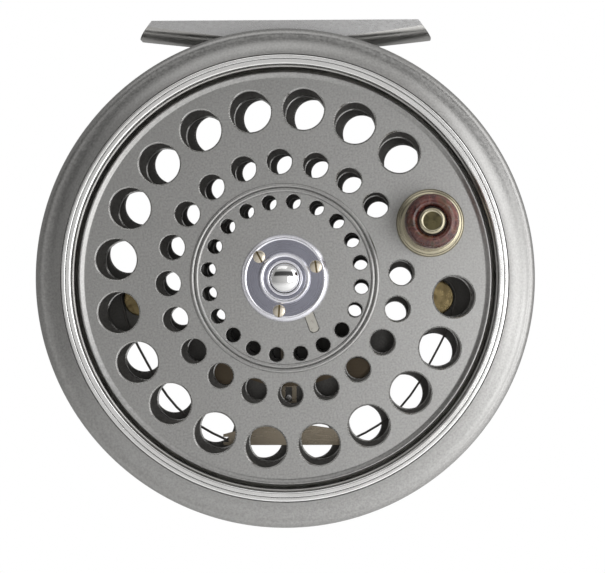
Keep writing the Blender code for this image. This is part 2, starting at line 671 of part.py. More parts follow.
# ---- spindle ----------------------------------------------------------------------------------
def spindle(look, nut_look, parent):
    rear = BACK_DEPTH + WASHER_THICKNESS + NUT_HEIGHT + 0.6 * MM
    shoulder = PLATE_FRONT - SEAT
    profile = [(0, -SPINDLE_TIP - DOME_RISE)]
    for i in range(1, 5):
        angle = math.pi / 2 * i / 4
        profile.append((SPINDLE_RADIUS * math.sin(angle), -SPINDLE_TIP - DOME_RISE * math.cos(angle)))
    profile += [
        (SPINDLE_RADIUS, 0),
        (LATCH_GROOVE_RADIUS, 0),
        (LATCH_GROOVE_RADIUS, SEAT + LATCH_THICKNESS + 0.1 * MM),
        (SPINDLE_RADIUS, SEAT + LATCH_THICKNESS + 0.1 * MM),
        (SPINDLE_RADIUS, shoulder - SHOULDER_THICKNESS),
        (SHOULDER_RADIUS, shoulder - SHOULDER_THICKNESS),
        (SHOULDER_RADIUS, shoulder),
        (SPINDLE_THREAD_RADIUS, shoulder),
        (SPINDLE_THREAD_RADIUS, rear - 0.4 * MM),
        (SPINDLE_THREAD_RADIUS - 0.4 * MM, rear),
        (0, rear),
    ]
    turned("spindle", profile, look, parent, SIDES_MIDDLE)
    bore = round_bore(SPINDLE_THREAD_RADIUS + FIT, SIDES_MIDDLE)
    seat = BACK_DEPTH + SEAT
    washer = [
        (bore, seat),
        (WASHER_RADIUS, seat),
        (WASHER_RADIUS, seat + WASHER_THICKNESS),
        (bore, seat + WASHER_THICKNESS),
    ]
    turned("spindle_washer", washer, look, parent, SIDES_MIDDLE)
    front = seat + WASHER_THICKNESS + SEAT
    nut = slab("spindle_nut", arc((0, 0), NUT_RADIUS, 0, 300, 5), front, front + NUT_HEIGHT, nut_look, parent)
    hole = bmesh.new()
    add_rod(hole, (0, 0), bore, front - MM, front + NUT_HEIGHT + MM, SIDES_MIDDLE)
    cut(nut, cutter("spindle_nut_bore", hole, parent))


# ---- spool ------------------------------------------------------------------------------------
def latch_opening():
    """Outline of the opening for the latch plate, its tab and its spring, with X along the tab."""
    ring = LATCH_RING_RADIUS + PLAY
    side = 0.12 * MM
    low = LATCH_ARM_OFFSET - LATCH_ARM_WIDTH / 2 - side
    high = LATCH_ARM_OFFSET + LATCH_ARM_WIDTH / 2 + side
    end = LATCH_ARM_LENGTH + side
    tip = 0.5 * MM
    start = math.degrees(math.asin(high / ring))
    stop = math.degrees(math.asin(low / ring))
    half = LATCH_SPRING_RADIUS + 0.15 * MM
    turn = math.degrees(math.asin(half / ring))
    far = -(LATCH_RING_RADIUS + LATCH_TRAVEL + LATCH_SPRING_LENGTH + 2 * SEAT)
    rest = (-LATCH_TRAVEL, 0)
    points = arc((0, 0), ring, start, 90, 4) + arc(rest, ring, 90, 180 - turn, 6)
    points += [(far, half), (far, -half)]
    points += arc(rest, ring, 180 + turn, 270, 6) + arc((0, 0), ring, 270, 360 + stop, 8)
    points += [(end - tip, low), (end, low + tip), (end, high - tip), (end - tip, high)]
    return points


def latch_axis(parent, name):
    """An empty whose X axis points along the release tab."""
    return axis_empty(name, (0, 0, 0), -math.radians(LATCH_ANGLE), parent)


def front_plate(look, parent):
    lip = SPOOL_RADIUS - SPOOL_LIP_WIDTH
    wall = lip - SPOOL_WALL_WIDTH
    groove = wall - GROOVE_WIDTH
    bead = FACE_BEAD_WIDTH / 2
    core = 2 * MM
    profile = [
        (core, FRONT_THICKNESS),
        (core, 0),
        (FACE_RADIUS, 0),
        (FACE_RADIUS + 0.5 * bead, -FACE_BEAD_RISE),
        (FACE_RADIUS + 1.2 * bead, -FACE_BEAD_RISE),
        (groove, 0.3 * MM),
        (groove + 0.15 * MM, GROOVE_DEPTH),
        (wall, GROOVE_DEPTH),
        (lip, -LIP_RISE + 0.1 * MM),
        (lip + 0.15 * MM, -LIP_RISE),
        (SPOOL_RADIUS - 0.15 * MM, -LIP_RISE),
        (SPOOL_RADIUS, -LIP_RISE + 0.15 * MM),
        (SPOOL_RADIUS, FRONT_RIM_REAR),
        (groove, FRONT_RIM_REAR),
        (FACE_RADIUS, FRONT_THICKNESS),
    ]
    plate = turned("spool_front_plate", profile, look, parent)
    missing = ([HANDLE_STEP - STEP_ANGLE / 2, HANDLE_STEP + STEP_ANGLE / 2], [HANDLE_STEP], [])
    back = FRONT_RIM_REAR
    tool = bmesh.new()
    add_holes(tool, missing, -MM, back)
    for angle in COVER_SCREW_ANGLES:
        add_rod(tool, cover_screw_place(angle), COVER_SCREW_RADIUS + FIT, -MM, back, SIDES_SMALL)
    post = polar(HANDLE_CIRCLE, HANDLE_STEP)
    add_rod(tool, post, HANDLE_SHANK_RADIUS + FIT, -MM, back, SIDES_SMALL)
    before = set(tool.verts)
    add_slab(tool, latch_opening(), -MM, back)
    new = [v for v in tool.verts if v not in before]
    turn = Matrix.Rotation(-math.radians(LATCH_ANGLE), 3, "Y")
    bmesh.ops.rotate(tool, verts=new, cent=(0, 0, 0), matrix=turn)
    cut(plate, cutter("front_plate_openings", tool, parent))


def cover_screw_place(angle):
    return polar(COVER_SCREW_CIRCLE, angle - SPOOL_TURN)


def drum(look, parent):
    front = FRONT_THICKNESS + SEAT
    rear = REAR_PLATE_FRONT - SEAT
    profile = [
        (DRUM_RADIUS - DRUM_WALL, front),
        (DRUM_RADIUS, front),
        (DRUM_RADIUS, rear),
        (DRUM_RADIUS - DRUM_WALL, rear),
    ]
    turned("spool_drum", profile, look, parent, SIDES_COVER)


def rear_plate(look, parent):
    radius = SPOOL_RADIUS - 2 * RIM_GAP
    bore = round_bore(BUSH_RADIUS + FIT, SIDES_LARGE)
    profile = [
        (bore, REAR_PLATE_FRONT),
        (radius - REAR_RIM_WIDTH - 0.5 * MM, REAR_PLATE_FRONT),
        (radius - REAR_RIM_WIDTH, REAR_PLATE_FRONT - REAR_RIM_LENGTH),
        (radius, REAR_PLATE_FRONT - REAR_RIM_LENGTH),
        (radius, SPOOL_REAR),
        (bore, SPOOL_REAR),
    ]
    plate = turned("spool_rear_plate", profile, look, parent)
    front = REAR_PLATE_FRONT - MM
    back = SPOOL_REAR + MM
    tool = bmesh.new()
    add_holes(tool, ([], [], []), front, back)
    for centre in gear_screw_places():
        add_rod(tool, centre, GEAR_SCREW_RADIUS + FIT, front, back, SIDES_SMALL)
    cut(plate, cutter("rear_plate_holes", tool, parent))


def gear_screw_places():
    return [polar(GEAR_SCREW_CIRCLE, a) for a in (90, 210, 330)]


def hub(look, bush_look, parent):
    front = FRONT_THICKNESS + SEAT
    rear = REAR_PLATE_FRONT - SEAT
    bore = round_bore(BUSH_RADIUS + FIT, SIDES_MIDDLE)
    profile = [
        (bore, front),
        (HUB_FLANGE_RADIUS, front),
        (HUB_FLANGE_RADIUS, front + HUB_FLANGE_THICKNESS),
        (HUB_RADIUS, front + HUB_FLANGE_THICKNESS + 0.6 * MM),
        (HUB_RADIUS, rear),
        (bore, rear),
    ]
    made = turned("spool_hub", profile, look, parent, SIDES_MIDDLE)
    depth = front + COVER_SCREW_REACH
    tool = bmesh.new()
    for angle in COVER_SCREW_ANGLES:
        add_rod(tool, cover_screw_place(angle), COVER_SCREW_RADIUS + FIT, front - MM, depth, SIDES_SMALL)
    cut(made, cutter("hub_screw_holes", tool, parent))
    inner = round_bore(SPINDLE_RADIUS + RUN, SIDES_MIDDLE)
    for name, near in (("front_bush", front), ("rear_bush", SPOOL_REAR + 0.3 * MM - BUSH_LENGTH)):
        far = near + BUSH_LENGTH
        ring = [(inner, near), (BUSH_RADIUS, near), (BUSH_RADIUS, far), (inner, far)]
        turned(name, ring, bush_look, parent, SIDES_MIDDLE)


# ---- latch ------------------------------------------------------------------------------------
def latch(look, spring_look, parent):
    axis = latch_axis(parent, "latch_axis")
    front = SEAT
    rear = SEAT + LATCH_THICKNESS
    half = LATCH_ARM_WIDTH / 2
    low = LATCH_ARM_OFFSET - half
    high = LATCH_ARM_OFFSET + half
    start = math.degrees(math.asin(high / LATCH_RING_RADIUS))
    stop = math.degrees(math.asin(low / LATCH_RING_RADIUS))
    outline = arc((0, 0), LATCH_RING_RADIUS, start, 360 + stop, 20)
    end = LATCH_ARM_LENGTH
    tip = 0.5 * MM
    outline += [(end - tip, low), (end, low + tip), (end, high - tip), (end - tip, high)]
    plate = slab("latch_plate", outline, front, rear, look, axis)
    hole = bmesh.new()
    eye = round_bore(SPINDLE_RADIUS + 0.1 * MM, SIDES_MIDDLE)
    add_rod(hole, (LATCH_TRAVEL, 0), eye, front - MM, rear + MM, SIDES_MIDDLE)
    cut(plate, cutter("latch_plate_eye", hole, axis))
    bm = bmesh.new()
    near = -(LATCH_RING_RADIUS + SEAT)
    add_rod(bm, (0, 0), LATCH_SPRING_RADIUS, 0, LATCH_SPRING_LENGTH + LATCH_TRAVEL, 8)
    bmesh.ops.rotate(bm, verts=bm.verts, cent=(0, 0, 0), matrix=Matrix.Rotation(math.pi / 2, 3, "Z"))
    middle = (front + rear) / 2
    bmesh.ops.translate(bm, verts=bm.verts, vec=(near, middle, 0))
    finish_mesh("latch_spring", bm, spring_look, axis)


def latch_cover(look, screw_look, parent):
    back = -SEAT / 2
    inner = round_bore(SPINDLE_RADIUS + COVER_GAP, SIDES_COVER)
    profile = [
        (inner, back),
        (inner, -COVER_COLLAR_HEIGHT),
        (COVER_COLLAR_RADIUS, -COVER_COLLAR_HEIGHT),
        (COVER_COLLAR_RADIUS + 0.1 * MM, -0.5 * COVER_HEIGHT),
        (COVER_RING_INNER, -0.5 * COVER_HEIGHT),
        (COVER_RING_INNER + 0.1 * MM, -COVER_RING_HEIGHT),
        (COVER_RING_OUTER - 0.1 * MM, -COVER_RING_HEIGHT),
        (COVER_RING_OUTER, -COVER_HEIGHT),
        (COVER_RADIUS - COVER_BEVEL, -COVER_HEIGHT),
        (COVER_RADIUS, -0.2 * COVER_HEIGHT),
        (COVER_RADIUS, back),
    ]
    cover = turned("latch_cover", profile, look, parent, SIDES_COVER)
    seat = -COVER_HEIGHT + COVER_SCREW_HEAD_HEIGHT
    steps = [(COVER_SCREW_HEAD + FIT, -3 * MM, seat), (COVER_SCREW_RADIUS + FIT, seat, MM)]
    tool = bmesh.new()
    for angle in COVER_SCREW_ANGLES:
        add_stepped(tool, cover_screw_place(angle), steps)
    cut(cover, cutter("cover_screw_holes", tool, parent))
    tip = FRONT_THICKNESS + COVER_SCREW_REACH - SEAT
    faces = (seat - SEAT - COVER_SCREW_HEAD_HEIGHT - SEAT, seat - SEAT, tip)
    radii = (COVER_SCREW_HEAD, COVER_SCREW_RADIUS)
    for number, angle in enumerate(COVER_SCREW_ANGLES, 1):
        place = cover_screw_place(angle)
        screw(f"cover_screw_{number}", place, faces, radii, screw_look, parent, 0.9 + number)


# ---- handle -----------------------------------------------------------------------------------
def handle(brass, grip_look, parent):
    x, z = polar(HANDLE_CIRCLE, HANDLE_STEP)
    axis = axis_empty("handle_axis", (x, 0, z), parent=parent)
    shank_bore = round_bore(HANDLE_SHANK_RADIUS + FIT, SIDES_MIDDLE)
    top = -SEAT - HANDLE_BASE_HEIGHT
    base = [
        (shank_bore, -SEAT),
        (HANDLE_BASE_RADIUS - 0.2 * MM, -SEAT),
        (HANDLE_BASE_RADIUS, -SEAT - 0.3 * MM),
        (HANDLE_BASE_RADIUS, -SEAT - 0.6 * HANDLE_BASE_HEIGHT),
        (HANDLE_BASE_RADIUS - 0.5 * MM, -SEAT - 0.9 * HANDLE_BASE_HEIGHT),
        (HANDLE_BASE_RADIUS - 1.0 * MM, top),
        (shank_bore, top),
    ]
    turned("handle_base", base, brass, axis, SIDES_MIDDLE)
    post_base = top - SEAT
    grip_base = post_base - PLAY
    grip_top = grip_base - GRIP_LENGTH
    recess = grip_top + GRIP_RECESS_DEPTH
    post_top = recess - 0.2 * MM
    rivet = FRONT_THICKNESS + SEAT
    bore = CAP_SCREW_RADIUS + FIT
    screw_end = post_top + CAP_SCREW_REACH
    post = [
        (0, rivet + HANDLE_RIVET_HEIGHT),
        (HANDLE_RIVET_RADIUS, rivet + HANDLE_RIVET_HEIGHT),
        (HANDLE_RIVET_RADIUS, rivet),
        (HANDLE_SHANK_RADIUS, rivet),
        (HANDLE_SHANK_RADIUS, post_base),
        (HANDLE_POST_RADIUS, post_base),
        (HANDLE_POST_RADIUS, post_top),
        (bore, post_top),
        (bore, screw_end),
        (0, screw_end),
    ]
    turned("handle_post", post, brass, axis, SIDES_SMALL)
    hole = round_bore(HANDLE_POST_RADIUS + RUN, SIDES_SMALL)
    grip = [
        (hole, grip_base),
        (GRIP_BASE_RADIUS - 0.3 * MM, grip_base),
        (GRIP_BASE_RADIUS, grip_base - 0.3 * MM),
        (GRIP_WAIST_RADIUS, grip_base - 0.36 * GRIP_LENGTH),
        (0.5 * (GRIP_WAIST_RADIUS + GRIP_RADIUS), grip_base - 0.58 * GRIP_LENGTH),
        (GRIP_RADIUS, grip_base - 0.8 * GRIP_LENGTH),
        (GRIP_RADIUS - 0.25 * MM, grip_base - 0.91 * GRIP_LENGTH),
        (GRIP_RADIUS - 0.85 * MM, grip_base - 0.98 * GRIP_LENGTH),
        (GRIP_RECESS_RADIUS + 0.4 * MM, grip_top),
        (GRIP_RECESS_RADIUS, grip_top + 0.3 * MM),
        (GRIP_RECESS_RADIUS, recess),
        (hole, recess),
    ]
    turned("handle_grip", grip, grip_look, axis, SIDES_MIDDLE)
    under = post_top - SEAT
    over = under - CAP_HEIGHT
    cap = [
        (0, over),
        (CAP_FLAT_RADIUS, over),
        (CAP_RADIUS, over + 0.5 * MM),
        (CAP_RADIUS, under),
        (CAP_SCREW_RADIUS, under),
        (CAP_SCREW_RADIUS, screw_end - 2 * SEAT),
        (0, screw_end - 2 * SEAT),
    ]
    turned("handle_screw", cap, brass, axis, SIDES_MIDDLE)


# ---- click check ------------------------------------------------------------------------------
def check_gear(look, screw_look, spool, parent):
    """The gear rests with a tooth gap straight down, where the pawl's nose sits."""
    pitch = 360.0 / GEAR_TEETH
    outline = []
    for tooth in range(GEAR_TEETH):
        middle = -90.0 + pitch / 2 + pitch * tooth
        outline.append(polar(GEAR_ROOT_RADIUS, middle - 0.42 * pitch))
        outline.append(polar(GEAR_RADIUS, middle - 0.12 * pitch))
        outline.append(polar(GEAR_RADIUS, middle + 0.12 * pitch))
        outline.append(polar(GEAR_ROOT_RADIUS, middle + 0.42 * pitch))
    back = GEAR_FRONT + GEAR_THICKNESS
    gear = slab("check_gear", outline, GEAR_FRONT, back, look, parent)
    seat = back - 0.7 * MM
    tool = bmesh.new()
    add_rod(tool, (0, 0), GEAR_BORE, GEAR_FRONT - MM, back + MM, SIDES_MIDDLE)
    turn = -math.radians(SPOOL_TURN)
    for x, z in gear_screw_places():
        centre = (x * math.cos(turn) + z * math.sin(turn), z * math.cos(turn) - x * math.sin(turn))
        steps = [(GEAR_SCREW_RADIUS + FIT, GEAR_FRONT - MM, seat), (GEAR_SCREW_HEAD + FIT, seat, back + MM)]
        add_stepped(tool, centre, steps)
    cut(gear, cutter("gear_holes", tool, parent))
    faces = (back, seat + SEAT, REAR_PLATE_FRONT + 2 * SEAT)
    for number, place in enumerate(gear_screw_places(), 1):
        radii = (GEAR_SCREW_HEAD, GEAR_SCREW_RADIUS)
        screw(f"gear_screw_{number}", place, faces, radii, screw_look, spool, 0.7 * number)


def check_pawl(look, parent):
    """The T-shaped click pawl: a nose in the gear, a slotted stem and a bar that the springs lift."""
    crown = PAWL_BAR_LOW + PAWL_BAR_DEPTH
    shoulder = crown - PAWL_BAR_CROWN
    half = PAWL_BAR_HALF
    bar = [(-half, PAWL_BAR_LOW + 0.3 * MM), (-half + 0.3 * MM, PAWL_BAR_LOW),
           (half - 0.3 * MM, PAWL_BAR_LOW), (half, PAWL_BAR_LOW + 0.3 * MM), (half, shoulder)]
    radius = (half ** 2 + PAWL_BAR_CROWN ** 2) / (2 * PAWL_BAR_CROWN)
    centre = crown - radius
    reach = math.asin(half / radius)
    for i in range(1, 10):
        angle = reach * (1 - 2 * i / 10)
        bar.append((radius * math.sin(angle), centre + radius * math.cos(angle)))
    bar.append((-half, shoulder))
    pawl = slab("check_pawl", bar, PAWL_REAR - PAWL_BAR_THICKNESS, PAWL_REAR, look, parent)
    stem = bmesh.new()
    width = PAWL_STEM_HALF
    tip = PAWL_TIP_RADIUS
    tooth = GEAR_RADIUS - PAWL_TIP_RADIUS
    outline = [
        (-width, PAWL_BAR_LOW + MM), (width, PAWL_BAR_LOW + MM), (width, -GEAR_RADIUS - 1.2 * MM),
        (0.75 * MM, -tip - tooth), (0.15 * MM, -tip), (-0.15 * MM, -tip), (-0.75 * MM, -tip - tooth),
        (-width, -GEAR_RADIUS - 1.2 * MM),
    ]
    add_slab(stem, outline, PAWL_FRONT, PAWL_REAR + 0.001 * MM)
    join_on(pawl, cutter("pawl_stem", stem, parent))
    slot = bmesh.new()
    wide = GUIDE_PIN_RADIUS + 0.1 * MM
    low = GUIDE_PIN_Z - GUIDE_PIN_RADIUS - 0.2 * MM
    high = GUIDE_PIN_Z + GUIDE_PIN_RADIUS + PAWL_TRAVEL + 0.2 * MM
    add_slab(slot, [(-wide, low), (wide, low), (wide, high), (-wide, high)], PAWL_FRONT - MM, PAWL_REAR + MM)
    for side in (-1, 1):
        x, z = spring_tip(side)
        tall = SPRING_THICKNESS / 2 + 0.35 * MM
        outline = [(x - side * 0.6 * MM, z - tall), (x + side * 2 * MM, z - tall),
                   (x + side * 2 * MM, z + tall), (x - side * 0.6 * MM, z + tall)]
        add_slab(slot, outline, PAWL_REAR - PAWL_BAR_THICKNESS - MM, PAWL_REAR + MM)
    cut(pawl, cutter("pawl_openings", slot, parent))


def spring_tip(side):
    return (side * (PAWL_BAR_HALF - 0.5 * MM), PAWL_BAR_LOW + 1.15 * MM)


def spring_path(side):
    """Middle line of a leaf spring: an eye round its boss, then a long bow down to the pawl's bar."""
    eye = SPRING_BOSS_RADIUS + PLAY + SPRING_THICKNESS / 2
    points = arc((BOSS_X, -SPRING_BOSS_DROP), eye, 130, -24, 9)
    start = math.hypot(*points[-1])
    start_angle = math.degrees(math.atan2(points[-1][1], points[-1][0]))
    tip = spring_tip(1)
    end = math.hypot(*tip)
    end_angle = math.degrees(math.atan2(tip[1], tip[0]))
    dip = start - (BORE_RADIUS - 10.2 * MM)
    for i in range(1, 13):
        t = i / 12
        radius = start + (end - start) * t - dip * math.sin(math.pi * min(1.0, t * 1.25)) ** 2 * (1 - t)
        points.append(polar(radius, start_angle + (end_angle - start_angle) * t))
    return [(side * x, z) for x, z in points]


def ribbon(path, thickness):
    """A closed outline of even thickness along a path."""
    left = []
    right = []
    for i, point in enumerate(path):
        before = path[max(i - 1, 0)]
        after = path[min(i + 1, len(path) - 1)]
        run = Vector((after[0] - before[0], after[1] - before[1])).normalized()
        across = Vector((-run.y, run.x)) * thickness / 2
        left.append((point[0] + across.x, point[1] + across.y))
        right.append((point[0] - across.x, point[1] - across.y))
    return left + right[::-1]


def springs(look, parent):
    front = PLATE_FRONT - PLAY - SPRING_WIDTH
    for side, name in ((-1, "check_spring_left"), (1, "check_spring_right")):
        slab(name, ribbon(spring_path(side), SPRING_THICKNESS), front, PLATE_FRONT - PLAY, look, parent)


def small_screw(name, centre, tip, look, parent, turn):
    seat = BACK_DEPTH + SEAT
    faces = (seat + SMALL_SCREW_HEAD_HEIGHT, seat, tip)
    screw(name, centre, faces, (SMALL_SCREW_HEAD, SMALL_SCREW_RADIUS), look, parent, turn)


def check_bridge(look, screw_look, parent):
    """The brass bridge in front of the pawl's stem, on two feet screwed to the back plate."""
    seat = PLATE_FRONT - SEAT
    feet = check_bridge_feet()
    inner = CHECK_BRIDGE_SPAN - BRIDGE_FOOT_RADIUS - CHECK_BRIDGE_WIDTH
    outer = inner + CHECK_BRIDGE_WIDTH + 1.2 * MM
    start, stop = -CHECK_BRIDGE_FOOT_ANGLE, -180 + CHECK_BRIDGE_FOOT_ANGLE
    band = arc((0, 0), inner, start, stop, 10) + arc((0, 0), outer, stop, start, 10)
    bridge = slab("check_bridge", band, BRIDGE_FRONT, BRIDGE_FRONT + CHECK_BRIDGE_THICKNESS, look, parent)
    legs = bmesh.new()
    for centre in feet:
        add_rod(legs, centre, BRIDGE_FOOT_RADIUS, BRIDGE_FRONT - 0.001 * MM, seat, 16)
    join_on(bridge, cutter("check_bridge_legs", legs, parent))
    tip = BRIDGE_FRONT + 0.5 * MM
    tool = bmesh.new()
    for centre in feet:
        add_rod(tool, centre, SMALL_SCREW_RADIUS + FIT, tip - SEAT, seat + MM, SIDES_SMALL)
    cut(bridge, cutter("check_bridge_screw_holes", tool, parent))
    for side, centre in zip(("left", "right"), feet):
        small_screw(f"check_bridge_screw_{side}", centre, tip, screw_look, parent, 0.6)


def spring_anchor(look, screw_look, parent):
    seat = PLATE_FRONT - SEAT
    bore = SMALL_SCREW_RADIUS + FIT
    tip = BRIDGE_FRONT + 0.5 * MM
    profile = [
        (0, BRIDGE_FRONT),
        (SPRING_BOSS_RADIUS - 0.3 * MM, BRIDGE_FRONT),
        (SPRING_BOSS_RADIUS, BRIDGE_FRONT + 0.3 * MM),
        (SPRING_BOSS_RADIUS, seat),
        (bore, seat),
        (bore, tip - SEAT),
        (0, tip - SEAT),
    ]
    place = (-BOSS_X, -SPRING_BOSS_DROP)
    turned("spring_anchor", profile, look, parent, SIDES_MIDDLE, place=(place[0], 0, place[1]))
    small_screw("spring_anchor_screw", place, tip, screw_look, parent, 1.1)


def guide_pin(look, parent):
    profile = [
        (0, PAWL_FRONT - 0.1 * MM),
        (GUIDE_PIN_RADIUS, PAWL_FRONT - 0.1 * MM),
        (GUIDE_PIN_RADIUS, BACK_DEPTH - SEAT),
        (0, BACK_DEPTH - SEAT),
    ]
    turned("pawl_guide_pin", profile, look, parent, SIDES_SMALL, place=(0, 0, GUIDE_PIN_Z))


def regulator(brass, knob_look, screw_look, parent):
    axis = axis_empty("regulator_axis", (BOSS_X, 0, -SPRING_BOSS_DROP), parent=parent)
    seat = PLATE_FRONT - PLAY
    knob_front = BACK_DEPTH + PLAY
    knob_back = knob_front + KNOB_HEIGHT
    bore = SMALL_SCREW_RADIUS + FIT
    end = knob_back - 1.2 * MM
    shaft = [
        (0, BRIDGE_FRONT),
        (SPRING_BOSS_RADIUS - 0.3 * MM, BRIDGE_FRONT),
        (SPRING_BOSS_RADIUS, BRIDGE_FRONT + 0.3 * MM),
        (SPRING_BOSS_RADIUS, seat),
        (REGULATOR_SHANK_RADIUS, seat),
        (REGULATOR_SHANK_RADIUS, end),
        (bore, end),
        (bore, end - 3 * MM),
        (0, end - 3 * MM),
    ]
    turned("regulator_shaft", shaft, brass, axis, SIDES_MIDDLE)
    outline = []
    for flute in range(KNOB_FLUTES):
        middle = 360.0 / KNOB_FLUTES * flute
        step = 360.0 / KNOB_FLUTES
        outline.append(polar(KNOB_RADIUS, middle - 0.3 * step))
        outline.append(polar(KNOB_RADIUS, middle + 0.3 * step))
        outline.append(polar(KNOB_RADIUS - 0.5 * MM, middle + 0.5 * step))
    knob = slab("regulator_knob", outline, knob_front, knob_back, knob_look, axis)
    hole = bmesh.new()
    bore = round_bore(REGULATOR_SHANK_RADIUS + FIT, SIDES_MIDDLE)
    steps = [(bore, knob_front - MM, end + SEAT), (KNOB_SCREW_HEAD + FIT, end + SEAT, knob_back + MM)]
    add_stepped(hole, (0, 0), steps, SIDES_MIDDLE)
    cut(knob, cutter("knob_bore", hole, axis))
    faces = (knob_back + 0.1 * MM, end + 2 * SEAT, end - 3 * MM + 2 * SEAT)
    screw("regulator_screw", (0, 0), faces, (KNOB_SCREW_HEAD, SMALL_SCREW_RADIUS), screw_look, axis, 0.3)


def main():
    clear_scene()
    satin = material("satin_aluminium", (0.42, 0.42, 0.41), 0.45, 1.0)
    foot_look = material("foot_metal", (0.55, 0.55, 0.55), 0.3, 1.0)
    steel = material("polished_steel", (0.7, 0.7, 0.7), 0.12, 1.0)
    nickel = material("nickel_screws", (0.66, 0.6, 0.5), 0.3, 1.0)
    brass = material("brass", (0.6, 0.46, 0.2), 0.3, 1.0)
    pale_brass = material("pale_brass", (0.72, 0.66, 0.5), 0.2, 1.0)
    cover_look = material("cover_metal", (0.5, 0.5, 0.56), 0.25, 1.0)
    spring_look = material("spring_steel", (0.15, 0.14, 0.13), 0.35, 1.0)
    grip_look = material("marbled_grip", (0.16, 0.05, 0.04), 0.2, 0.0)

    reel = axis_empty("reel_axis", (0, -FACE_TO_FOOT, AXIS_Z))
    spool = axis_empty("spool_axis", (0, 0, 0), -math.radians(SPOOL_TURN), reel)

    frame_ring(satin, reel)
    back_plate(satin, reel)
    pillars(satin, nickel, reel)
    foot_bridge(satin, steel, reel)
    reel_foot(foot_look, reel)
    foot_screws(nickel, reel)
    spindle(steel, nickel, reel)

    front_plate(satin, spool)
    drum(satin, spool)
    rear_plate(satin, spool)
    hub(satin, brass, spool)
    latch(foot_look, spring_look, spool)
    latch_cover(cover_look, nickel, spool)
    handle(pale_brass, grip_look, spool)

    check_gear(brass, nickel, spool, reel)
    check_pawl(brass, reel)
    springs(spring_look, reel)
    check_bridge(brass, nickel, reel)
    spring_anchor(brass, nickel, reel)
    guide_pin(steel, reel)
    regulator(brass, satin, nickel, reel)


main()
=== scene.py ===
"""The looks of the fly reel: smooth turned metal, chamfered perforations and studio light, built round
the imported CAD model. Reel pieces are drawn as (x, depth, z) round the spool's axis, with depth measured
backwards from the spool's face, exactly as in the CAD.
"""

import math

import bmesh
import bpy
from mathutils import Matrix, Vector


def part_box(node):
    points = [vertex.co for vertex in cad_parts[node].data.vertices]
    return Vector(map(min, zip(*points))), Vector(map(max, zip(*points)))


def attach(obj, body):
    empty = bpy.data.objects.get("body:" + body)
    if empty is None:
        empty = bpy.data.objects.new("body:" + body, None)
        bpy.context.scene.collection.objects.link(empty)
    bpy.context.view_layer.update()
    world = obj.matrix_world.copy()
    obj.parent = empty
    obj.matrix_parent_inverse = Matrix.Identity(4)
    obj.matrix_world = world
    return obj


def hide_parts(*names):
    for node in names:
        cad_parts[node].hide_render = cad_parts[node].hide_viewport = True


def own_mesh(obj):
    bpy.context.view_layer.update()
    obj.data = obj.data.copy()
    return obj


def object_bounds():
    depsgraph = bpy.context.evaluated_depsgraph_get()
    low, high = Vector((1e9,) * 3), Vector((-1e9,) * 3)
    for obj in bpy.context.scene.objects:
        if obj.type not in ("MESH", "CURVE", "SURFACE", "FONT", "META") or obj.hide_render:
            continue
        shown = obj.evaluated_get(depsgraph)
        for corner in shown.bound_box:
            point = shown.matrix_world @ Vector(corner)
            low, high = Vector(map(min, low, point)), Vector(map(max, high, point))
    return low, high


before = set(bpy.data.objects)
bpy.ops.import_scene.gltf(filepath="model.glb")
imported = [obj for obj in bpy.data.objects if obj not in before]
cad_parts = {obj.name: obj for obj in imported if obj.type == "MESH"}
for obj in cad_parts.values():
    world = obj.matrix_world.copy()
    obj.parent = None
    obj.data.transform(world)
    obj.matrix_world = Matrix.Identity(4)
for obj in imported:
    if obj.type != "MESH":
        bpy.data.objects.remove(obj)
cad_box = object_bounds()

MM = 0.001                  # the reel is drawn in millimetres, and the studio in metres
OVER = 1.0                  # how far a cutter reaches past the face that it cuts

# ---- places read from the CAD frame
RING_LOW, RING_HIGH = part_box("frame_ring")

LIP_RISE = 3.0              # how far both lips stand in front of the spool's face
FRAME_RADIUS = (RING_HIGH.x - RING_LOW.x) / 2 / MM
AXIS_Z = (RING_HIGH.z + RING_LOW.z) / 2                         # metres
FACE_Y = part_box("spool_front_plate")[0].y + LIP_RISE * MM       # metres


def centre_of(node):
    """The middle of a CAD piece, across and up from the spool's axis."""
    low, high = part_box(node)
    return ((low.x + high.x) / 2 / MM, ((low.z + high.z) / 2 - AXIS_Z) / MM)


def radius_of(node):
    low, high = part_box(node)
    return (high.x - low.x) / 2 / MM


def ends_of(node):
    """The depths of a CAD piece's front and back."""
    low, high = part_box(node)
    return ((low.y - FACE_Y) / MM, (high.y - FACE_Y) / MM)


# ---- sizes, as in the CAD
BACK_DEPTH = ends_of("back_plate")[1]
SPOOL_TURN = 2.5            # degrees that the spool's hole pattern is turned by at rest
SEAT = 0.05                 # gap between two pieces that are fastened together
PLAY = 0.30                 # gap beside a piece that moves
EDGE_ROUND = 1.4            # rounding of the frame's outer edge
COVE_WIDTH = 3.9
COVE_DROP = 1.7             # how far the cove falls from the lip to the frame's edge
LIP_WIDTH = 0.75
RING_REAR = 3.2
RIM_GAP = 0.2               # spool rim to frame ring
BACK_THICKNESS = 2.0
BACK_RIM_LENGTH = 6.7
WALL_WIDTH = 0.75
GROOVE_WIDTH = 0.8
GROOVE_DEPTH = 1.6
FACE_BEAD_WIDTH = 1.25
FACE_BEAD_RISE = 0.3
FRONT_THICKNESS = 1.8
FRONT_RIM_REAR = 3.1
REAR_THICKNESS = 1.6
BORE_RADIUS = FRAME_RADIUS - EDGE_ROUND - COVE_WIDTH - LIP_WIDTH
SPOOL_RADIUS = BORE_RADIUS - RIM_GAP
FACE_RADIUS = SPOOL_RADIUS - LIP_WIDTH - WALL_WIDTH - GROOVE_WIDTH - FACE_BEAD_WIDTH
PLATE_FRONT = BACK_DEPTH - BACK_THICKNESS
SPOOL_REAR = PLATE_FRONT - 2.8
REAR_PLATE_FRONT = SPOOL_REAR - REAR_THICKNESS
